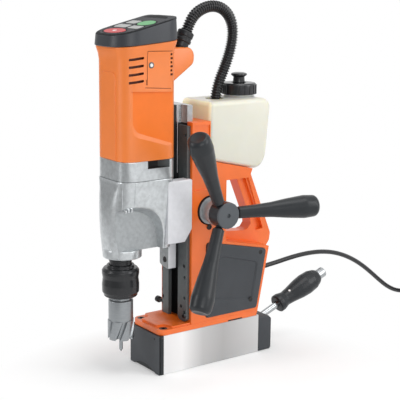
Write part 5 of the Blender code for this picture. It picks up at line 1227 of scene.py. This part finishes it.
housing = {
    # Height, half width, front and front corner of each level.
    "levels": [
        (0.326, 0.0456, -0.1700, 0.0226), (0.325, 0.0462, -0.1706, 0.0232), (0.319, 0.0458, -0.1712, 0.0250),
        (0.309, 0.0448, -0.1730, 0.0290), (0.296, 0.0442, -0.1755, 0.0325), (0.280, 0.0432, -0.1770, 0.0338),
        (0.264, 0.0420, -0.1775, 0.0336), (0.248, 0.0405, -0.1775, 0.0330), (0.230, 0.0388, -0.1768, 0.0322),
        (0.212, 0.037, -0.1755, 0.0315), (0.2015, 0.0362, -0.1747, 0.0312), (0.2002, 0.0352, -0.1737, 0.0306),
    ],
    "rear": -0.0700,
    "rearCorner": 0.020,
    "bossAt": (0, -0.1462, 0),
    "boss": [
        (0, 0.199), (0.0304, 0.199, 0.0008), (0.0313, 0.2000, 0.0005), (0.0313, 0.2125, 0.0012),
        (0.0293, 0.2135), (0, 0.2135),
    ],
    "clamp": [
        (-0.0890, 0.219, 0.002), (-0.056, 0.219), (-0.0423, 0.239), (-0.0423, 0.321, 0.003),
        (-0.0885, 0.3205, 0.003),
    ],
    "clampHalf": 0.0461,
    "clampEdge": 0.0014,
    "way": ((-0.0287, -0.0668, 0.20), (0.0287, -0.03, 0.34)),
    "gibWay": ((-0.0391, -0.0480, 0.20), (0.0391, -0.03, 0.34)),
    "under": ((-0.060, -0.1300, 0.190), (0.060, -0.060, 0.2120)),
    "bore": (0.0060, 0.190, 0.270, (0, -0.1495, 0)),
    "seams": [(-0.1490, 0.2860, 0.0007), (-0.1665, 0.2850, 0.0004)],
    "seamOut": 0.0005,
    "seamDeep": 0.002,
    "marks": [(-0.1650, 0.004), (-0.1600, 0.006), (-0.1545, 0.007)],
    "markFoot": 0.2790,
    "markSpan": (0.0370, 0.0432),
    "markHalf": 0.0012,
    "markEdge": 0.0004,
}
arch = {
    "front": -0.195, "low": 0.195, "deep": 0.079, "high": 0.070, "power": 0.66, "steps": 18, "out": 0.070,
    "webs": {1: 0.0245, -1: 0.034},  # Where the web lies on the near and the far side.
    "wall": [(0.0, 0.2780, -0.0955), (0.4, 0.2818, -0.0942)],
    "rim": [
        (-0.0028, 0.2856, -0.0930), (-0.0012, 0.2863, -0.0926), (-0.0003, 0.2876, -0.0917),
        (0.0004, 0.2892, -0.0906),
    ],
}


def halfAt(z):
    # The housing's half width at a height.
    rows = housing["levels"]
    for upper, lower in zip(rows, rows[1:]):
        if z >= lower[0]:
            share = min(1.0, max(0.0, (z - lower[0]) / (upper[0] - lower[0])))
            return lower[1] + (upper[1] - lower[1]) * share
    return rows[-1][1]


def archLoop(x, top, rear):
    outline = [(arch["front"], arch["low"]), (arch["front"], top)]
    for step in range(arch["steps"] + 1):
        turn = math.radians(90) * step / arch["steps"]
        along, up = (max(0.0, share) ** arch["power"] for share in (math.sin(turn), math.cos(turn)))
        outline.append((rear - arch["deep"] * (1 - along), top - arch["high"] * (1 - up)))
    return [(x(z), y, z) for y, z in outline + [(rear, arch["low"])]]


def archForm(side):
    # The arched recess beside the spindle case; its wall slopes in to the web, and its rim is rounded.
    web = arch["webs"][side]
    loops = []
    for share, top, rear in arch["wall"]:
        loops.append(archLoop(lambda z: side * (web + (halfAt(z) - web) * share), top, rear))
    for out, top, rear in arch["rim"]:
        loops.append(archLoop(lambda z: side * (halfAt(z) + out), top, rear))
    return loftForm(loops + [archLoop(lambda z: side * arch["out"], top, rear)])


def housingFace(face):
    # The flat web inside the near arch takes the darker cast grey: painted shade.
    onWeb = face.normal.x > 0.95 and face.calc_center_median().x < arch["webs"][1] + 0.0015
    return 2 if onWeb else face.material_index


def castMarks():
    # Parting lines and the cast marks at their foot.
    marks = []
    for y, low, wide in housing["seams"]:
        loops = []
        for z, half, front, corner in housing["levels"][:6]:
            over = max(0.0, (front + corner) - y)
            x = half - corner + math.sqrt(max(0.0, corner**2 - over**2)) + housing["seamOut"]
            inside = x - housing["seamDeep"]
            ring = [(x, y - wide), (x, y + wide), (inside, y + wide), (inside, y - wide)]
            loops.append([(*point, max(z, low)) for point in ring])
        marks.append(loftForm(loops))
    low, half = housing["markFoot"], housing["markHalf"]
    inside, outside = housing["markSpan"]
    for y, high in housing["marks"]:
        ends = (inside, y - half, low), (outside, y + half, low + high)
        marks.append(boxForm(*ends, housing["markEdge"]))
    return joinedForm(*marks)


def addHousing():
    loops = []
    for z, half, front, corner in housing["levels"]:
        level = {**housing, "half": half, "front": front, "frontCorner": corner}
        loops.append([(x, y, z) for x, y in plan(level)])
    half = housing["clampHalf"]
    clamp = slabForm(rounded(housing["clamp"], 4), "x", -half, half, housing["clampEdge"], 3)
    form = carved(
        loftForm(loops),
        cut(archForm(1)),
        cut(boxForm(*housing["under"])),
        cut(archForm(-1)),
        weld(turnedForm(housing["boss"], housing["bossAt"], soft=4)),
        weld(clamp, 1),
        cut(boxForm(*housing["way"]), 1),
        cut(boxForm(*housing["gibWay"]), 1),
        cut(rodForm(*housing["bore"])),
    )
    replacing("gear_housing", painted(form, housingFace), [castMetal, milledMetal, castShade], 30)
    detail("cast_marks", castMarks(), castMetal, "drill", "cast_aluminium")


head = {
    "half": 0.0494, "front": -0.1780, "rear": -0.0632, "frontCorner": 0.036, "rearCorner": 0.030,
    "rise": 0.0171, "slope": math.radians(13.6), "edge": 0.0018, "edgeSteps": 5,
    "footRings": [(0.0004, 0.0004), (0.0016, 0.0014)],
    "pad": Vector((0, -0.1208, 0.564)),
    "pocket": (-0.0045, 0.0030),
    "pocketShare": 0.97,
    "inset": ((-0.002, 0.0385), (0.032, 0.0130)),
    "mark": ((0.0, -0.0375), (0.0042, 0.0030)),
    "raised": (-0.0002, 0.00012),  # Thin layers lie this far in and out of a surface.
}
# The dark gap round a key, painted shade between the keys: centre and size of an oval, or two corners of a
# box.
keys = {
    "stop_key": {"finish": keyRed, "oval": ((0.0, -0.0375), (0.0302, 0.0137))},
    "start_key": {"finish": keyGreen, "oval": ((0.0185, 0.0095), (0.0222, 0.0150))},
    "slower_key": {"finish": keyGrey, "box": ((-0.0365, -0.0218), (0.0035, -0.0032))},
    "faster_key": {"finish": keyGrey, "box": ((0.0060, -0.0228), (0.0405, -0.0052))},
    "magnet_key": {"finish": keyGrey, "box": ((-0.0350, 0.0002), (-0.0020, 0.0188))},
}
keySizes = {"share": 0.93, "holeShare": 0.945, "gapCorner": 0.004, "edge": 0.0004}


def topAt(y):
    return motor["top"] + head["rise"] + (y - head["front"]) * math.tan(head["slope"])


def onPad(outline, low, high):
    form = slabForm(outline, "z", low, high)
    place = Matrix.Translation(head["pad"]) @ Matrix.Rotation(head["slope"], 4, "X")
    bmesh.ops.transform(form, matrix=place, verts=form.verts)
    return form


def layerOn(node, outline):
    # A thin layer on top of a node that lies along the pad.
    normal = Vector((0, -math.sin(head["slope"]), math.cos(head["slope"])))
    top = max((point.co - head["pad"]).dot(normal) for point in nodes[node].data.vertices)
    return onPad(outline, *(top + level for level in head["raised"]))


def padOutline(share):
    turn = Matrix.Rotation(-head["slope"], 4, "X")
    flat = [(turn @ (point.co - head["pad"])).xy for point in nodes["keypad"].data.vertices]
    return [tuple(flat[index] * share) for index in convex_hull_2d(flat)]


def keyForm(node, share):
    # The key's own form, drawn in towards its middle.
    form = nodeForm(node)
    low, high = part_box(node)
    for point in form.verts:
        for axis in (0, 1):
            middle = (low[axis] + high[axis]) / 2
            point.co[axis] = middle + (point.co[axis] - middle) * share
    return form


def gapForm(node, key):
    if "oval" in key:
        outline = ovalLine(*key["oval"])
    else:
        outline = boxLine(*key["box"], keySizes["gapCorner"], 4)
    return carved(layerOn("keypad", outline), cut(keyForm(node, keySizes["holeShare"])))


def addHead():
    loops = [[(x, y, seamAt(y) + up) for x, y in plan(head, grow)] for grow, up in head["footRings"]]
    edge = head["edge"]
    for step in range(head["edgeSteps"] + 1):
        turn = math.radians(90) * step / head["edgeSteps"]
        drop = edge * (1 - math.sin(turn))
        loops.append([(x, y, topAt(y) - drop) for x, y in plan(head, edge * (math.cos(turn) - 1))])
    # A pocket under the pad leaves the keys room to sink.
    form = carved(loftForm(loops), cut(onPad(padOutline(head["pocketShare"]), *head["pocket"]), 1))
    painted(form, lambda face: face.normal.z > 0.6 or face.material_index)
    replacing("control_head", form, [headGrey, headBlack], 30)
    dressed("keypad", padGrey)
    # Black layers round the keys and over the oval inset: painted shade in the gaps and the recess.
    gaps = [gapForm(node, key) for node, key in keys.items()]
    gaps.append(layerOn("keypad", ovalLine(*head["inset"])[:21]))
    detail("key_gap_shade", joinedForm(*gaps), headBlack, bodyOf["keypad"], "black_plastic")
    for node, key in keys.items():
        form = keyForm(node, keySizes["share"])
        replacing(node, form, key["finish"], edge=keySizes["edge"], segments=3)
    mark = layerOn("stop_key", ovalLine(*head["mark"], 24))
    detail("stop_mark", mark, markAndGlintWhite, bodyOf["stop_key"], "cream_plastic")


addMotor()
addFlange()
addHousing()
addHead()
innerPieces = {
    "spindle": brightSteel, "spindle_bearing_lower": brightSteel, "spindle_bearing_upper": brightSteel,
    "motor_bearing": brightSteel, "stator": copper, "armature": copper, "fan": blackPlastic,
    "counter_gear": brightSteel, "hose_socket": blackPlastic, "tank_stopper": rubber,
}
for name, material in innerPieces.items():
    dressed(name, material)
print("motor, housing and head made")


# Chuck and cutter

chuck = {
    "at": Vector((0, -0.1495, 0.1984)),
    "body": [
        (0.0060, 0), (0.019, 0.0, 0.0006), (0.019, -0.0052, 0.0006), (0.018, -0.0056), (0.018, -0.0118),
        (0.0118, -0.0118), (0.0118, -0.062), (0.0060, -0.062), (0.0060, 0),
    ],
    "sleeveLow": -0.0641,
    "sleeve": [
        (0.0125, 0.001), (0.0255, 0.0002, 0.001), (0.0270, 0.0015, 0.001), (0.0275, 0.0042, 0.002),
        (0.0298, 0.0082, 0.002), (0.0300, 0.0200, 0.004), (0.0288, 0.0310, 0.008), (0.0300, 0.0378, 0.004),
        (0.030, 0.0433, 0.0015), (0.027, 0.0473, 0.0008), (0.0222, 0.0476, 0.0008), (0.0220, 0.0523, 0.0008),
        (0.0190, 0.0523), (0.0190, 0.040), (0.0125, 0.040), (0.0125, 0.001),
    ],
}


def addChuck():
    at = chuck["at"]
    replacing("chuck_body", turnedForm(chuck["body"], at), oiledSteel, 35)
    sleeve = turnedForm(chuck["sleeve"], at + Vector((0, 0, chuck["sleeveLow"])), steps=72, soft=4)
    replacing("chuck_sleeve", sleeve, oiledSteel, 35)


cutter = {
    "radius": 0.0200, "wall": 0.0045, "shank": 0.0172, "shankDeep": 0.02, "top": -0.0654, "collar": -0.0700,
    "low": -0.1353, "fluteTop": -0.1035, "soft": 0.0004,
    "teeth": 6, "twist": math.radians(-34), "steps": 14,
    # Share of a tooth's pitch, and how far its outline stands out there.
    "tooth": [
        (0.0, 0.0012), (0.12, 0.0013), (0.25, 0.0013), (0.38, 0.0013), (0.50, 0.0012), (0.62, 0.0010),
        (0.66, -0.0006), (0.70, -0.0026), (0.80, -0.0030), (0.90, -0.0028), (0.97, -0.0016),
    ],
    "gulletFrom": 0.63,
    "gulletRise": 0.0032,
}


def cutterBody():
    # Shank and shouldered cup.
    radius, inside, soft = cutter["radius"], cutter["radius"] - cutter["wall"], cutter["soft"]
    top, collar, low = cutter["top"], cutter["collar"], cutter["fluteTop"] - 0.0005
    deep = top - cutter["shankDeep"]
    profile = [
        (0, top), (cutter["shank"], top, soft), (cutter["shank"], collar + 0.0006, soft),
        (radius - 0.0010, collar, soft), (radius, collar - 0.001, soft),
        (radius, low), (inside, low), (inside, deep), (0, deep),
    ]
    return turnedForm(profile, chuck["at"], steps=64)


def cutterTeeth():
    # Leaning teeth, drawn down from a toothed ring in small turns.
    radius, count, steps = cutter["radius"], cutter["teeth"], cutter["steps"]
    pitch = math.tau / count
    outline = []
    for tooth in range(count):
        for share, out in cutter["tooth"]:
            turn = (tooth + share) * pitch
            outline.append(((radius + out) * math.cos(turn), (radius + out) * math.sin(turn)))
    inner = ovalLine((0, 0), (radius - cutter["wall"],) * 2, len(outline))
    form = bmesh.new()
    rims = []
    for loop in (outline, inner):
        points = [form.verts.new((x, y, cutter["fluteTop"])) for x, y in loop]
        rims += [form.edges.new(pair) for pair in zip(points, points[1:] + points[:1])]
    bmesh.ops.bridge_loops(form, edges=rims)
    faces = form.faces[:]
    down = (0, 0, (cutter["low"] - cutter["fluteTop"]) / steps)
    turned = Matrix.Rotation(cutter["twist"] / steps, 3, "Z")
    for step in range(steps):
        grown = bmesh.ops.extrude_face_region(form, geom=faces, use_keep_orig=step == 0)["geom"]
        faces = [item for item in grown if isinstance(item, bmesh.types.BMFace)]
        moved = [item for item in grown if isinstance(item, bmesh.types.BMVert)]
        bmesh.ops.translate(form, verts=moved, vec=down)
        bmesh.ops.rotate(form, verts=moved, cent=(0, 0, 0), matrix=turned)
    # The low side of each gullet stands back from the cutting edges.
    for point in moved:
        turn = (math.atan2(point.co.y, point.co.x) - cutter["twist"]) % pitch / pitch
        if turn > cutter["gulletFrom"]:
            point.co.z += cutter["gulletRise"]
    bmesh.ops.transform(form, matrix=Matrix.Translation(chuck["at"]), verts=form.verts)
    return form


addChuck()
replacing("core_cutter", joinedForm(cutterBody(), cutterTeeth()), cutterSteel, 35)
dressed("pilot_pin", cutterSteel, 0.0002)
print("chuck and cutter made")


# Tank and hose ends

tank = {
    "half": 0.0415,
    "outline": [
        (-0.0052, 0.346, 0.008), (0.1010, 0.3215, 0.020), (0.1130, 0.3450, 0.030),
        (0.122, 0.441, 0.016), (-0.0052, 0.441, 0.009),
    ],
    "edge": 0.0070,
    "well": (0.0155, 0.34, 0.47, (0, 0.0335, 0)),
    "neckAt": (0, 0.0835, 0),
    "neck": [
        (0, 0.430), (0.0275, 0.430), (0.0270, 0.4425, 0.002), (0.0240, 0.4430, 0.001),
        (0.0240, 0.4545, 0.0006), (0.0205, 0.4545), (0.0205, 0.435), (0, 0.435),
    ],
}


def addTank():
    slab = slabForm(rounded(tank["outline"], 7), "x", -tank["half"], tank["half"], tank["edge"], 5)
    form = carved(slab, cut(rodForm(*tank["well"], steps=40)))
    # The front faces take a paler cream: painted light, for the glow through the milky walls on the side in
    # shade.
    painted(form, lambda face: face.normal.y < -0.5 and face.calc_center_median().y < 0)
    neck = turnedForm(tank["neck"], tank["neckAt"])
    replacing("coolant_tank", joinedForm(form, neck), [cream, creamPaintedLight], 40)


cap = {
    "at": Vector((0, 0.0835, 0.441)),
    "profile": [
        (0.0246, 0.005), (0.0292, 0.005, 0.0004), (0.0292, 0.0215, 0.0015), (0.0270, 0.0236, 0.0012),
        (0.0125, 0.0238), (0.0125, 0.0200), (0.0246, 0.0200), (0.0246, 0.005),
    ],
    "steps": 40,
    "gripFrom": 0.0285,
    "gripArea": 1e-5,
    "gripInset": 0.0006,
    "gripOut": 0.0010,
}


def addCap():
    # Every second face round the side stands out as a grip.
    form = turnedForm(cap["profile"], cap["at"], steps=cap["steps"])
    around = {face: (face.calc_center_median() - cap["at"]).xy for face in form.faces}
    sides = [face for face in form.faces if abs(face.normal.z) < 0.2 and face.calc_area() > cap["gripArea"]]
    sides = [face for face in sides if around[face].length > cap["gripFrom"]]
    sides.sort(key=lambda face: math.atan2(around[face].y, around[face].x))
    bmesh.ops.inset_individual(form, faces=sides[::2], thickness=cap["gripInset"], depth=cap["gripOut"])
    replacing("tank_cap", form, glossBlack, 30)
    dressed("vent_knob", glossBlack, 0.0005, 3)


connector = {
    "profile": [
        (0.0, -0.004), (0.0093, -0.004), (0.0093, 0.0), (0.0115, 0.0003, 0.0008), (0.0115, 0.0085, 0.0008),
        (0.0135, 0.0095, 0.0008), (0.0135, 0.0135, 0.0008), (0.0124, 0.0145, 0.0005),
        (0.0124, 0.0175, 0.0005), (0.0135, 0.0185, 0.0008), (0.0135, 0.0255, 0.0008), (0.0125, 0.0268, 0.0005),
        (0.0099, 0.0268), (0.0099, 0.0210), (0, 0.0205),
    ],
}


def addConnector():
    form = turnedForm(connector["profile"], hoseParts["base"], hoseParts["along"], 48)
    replacing("hose_connector", form, blackPlastic, 40)


addTank()
addCap()
addConnector()
print("tank and hose ends made")
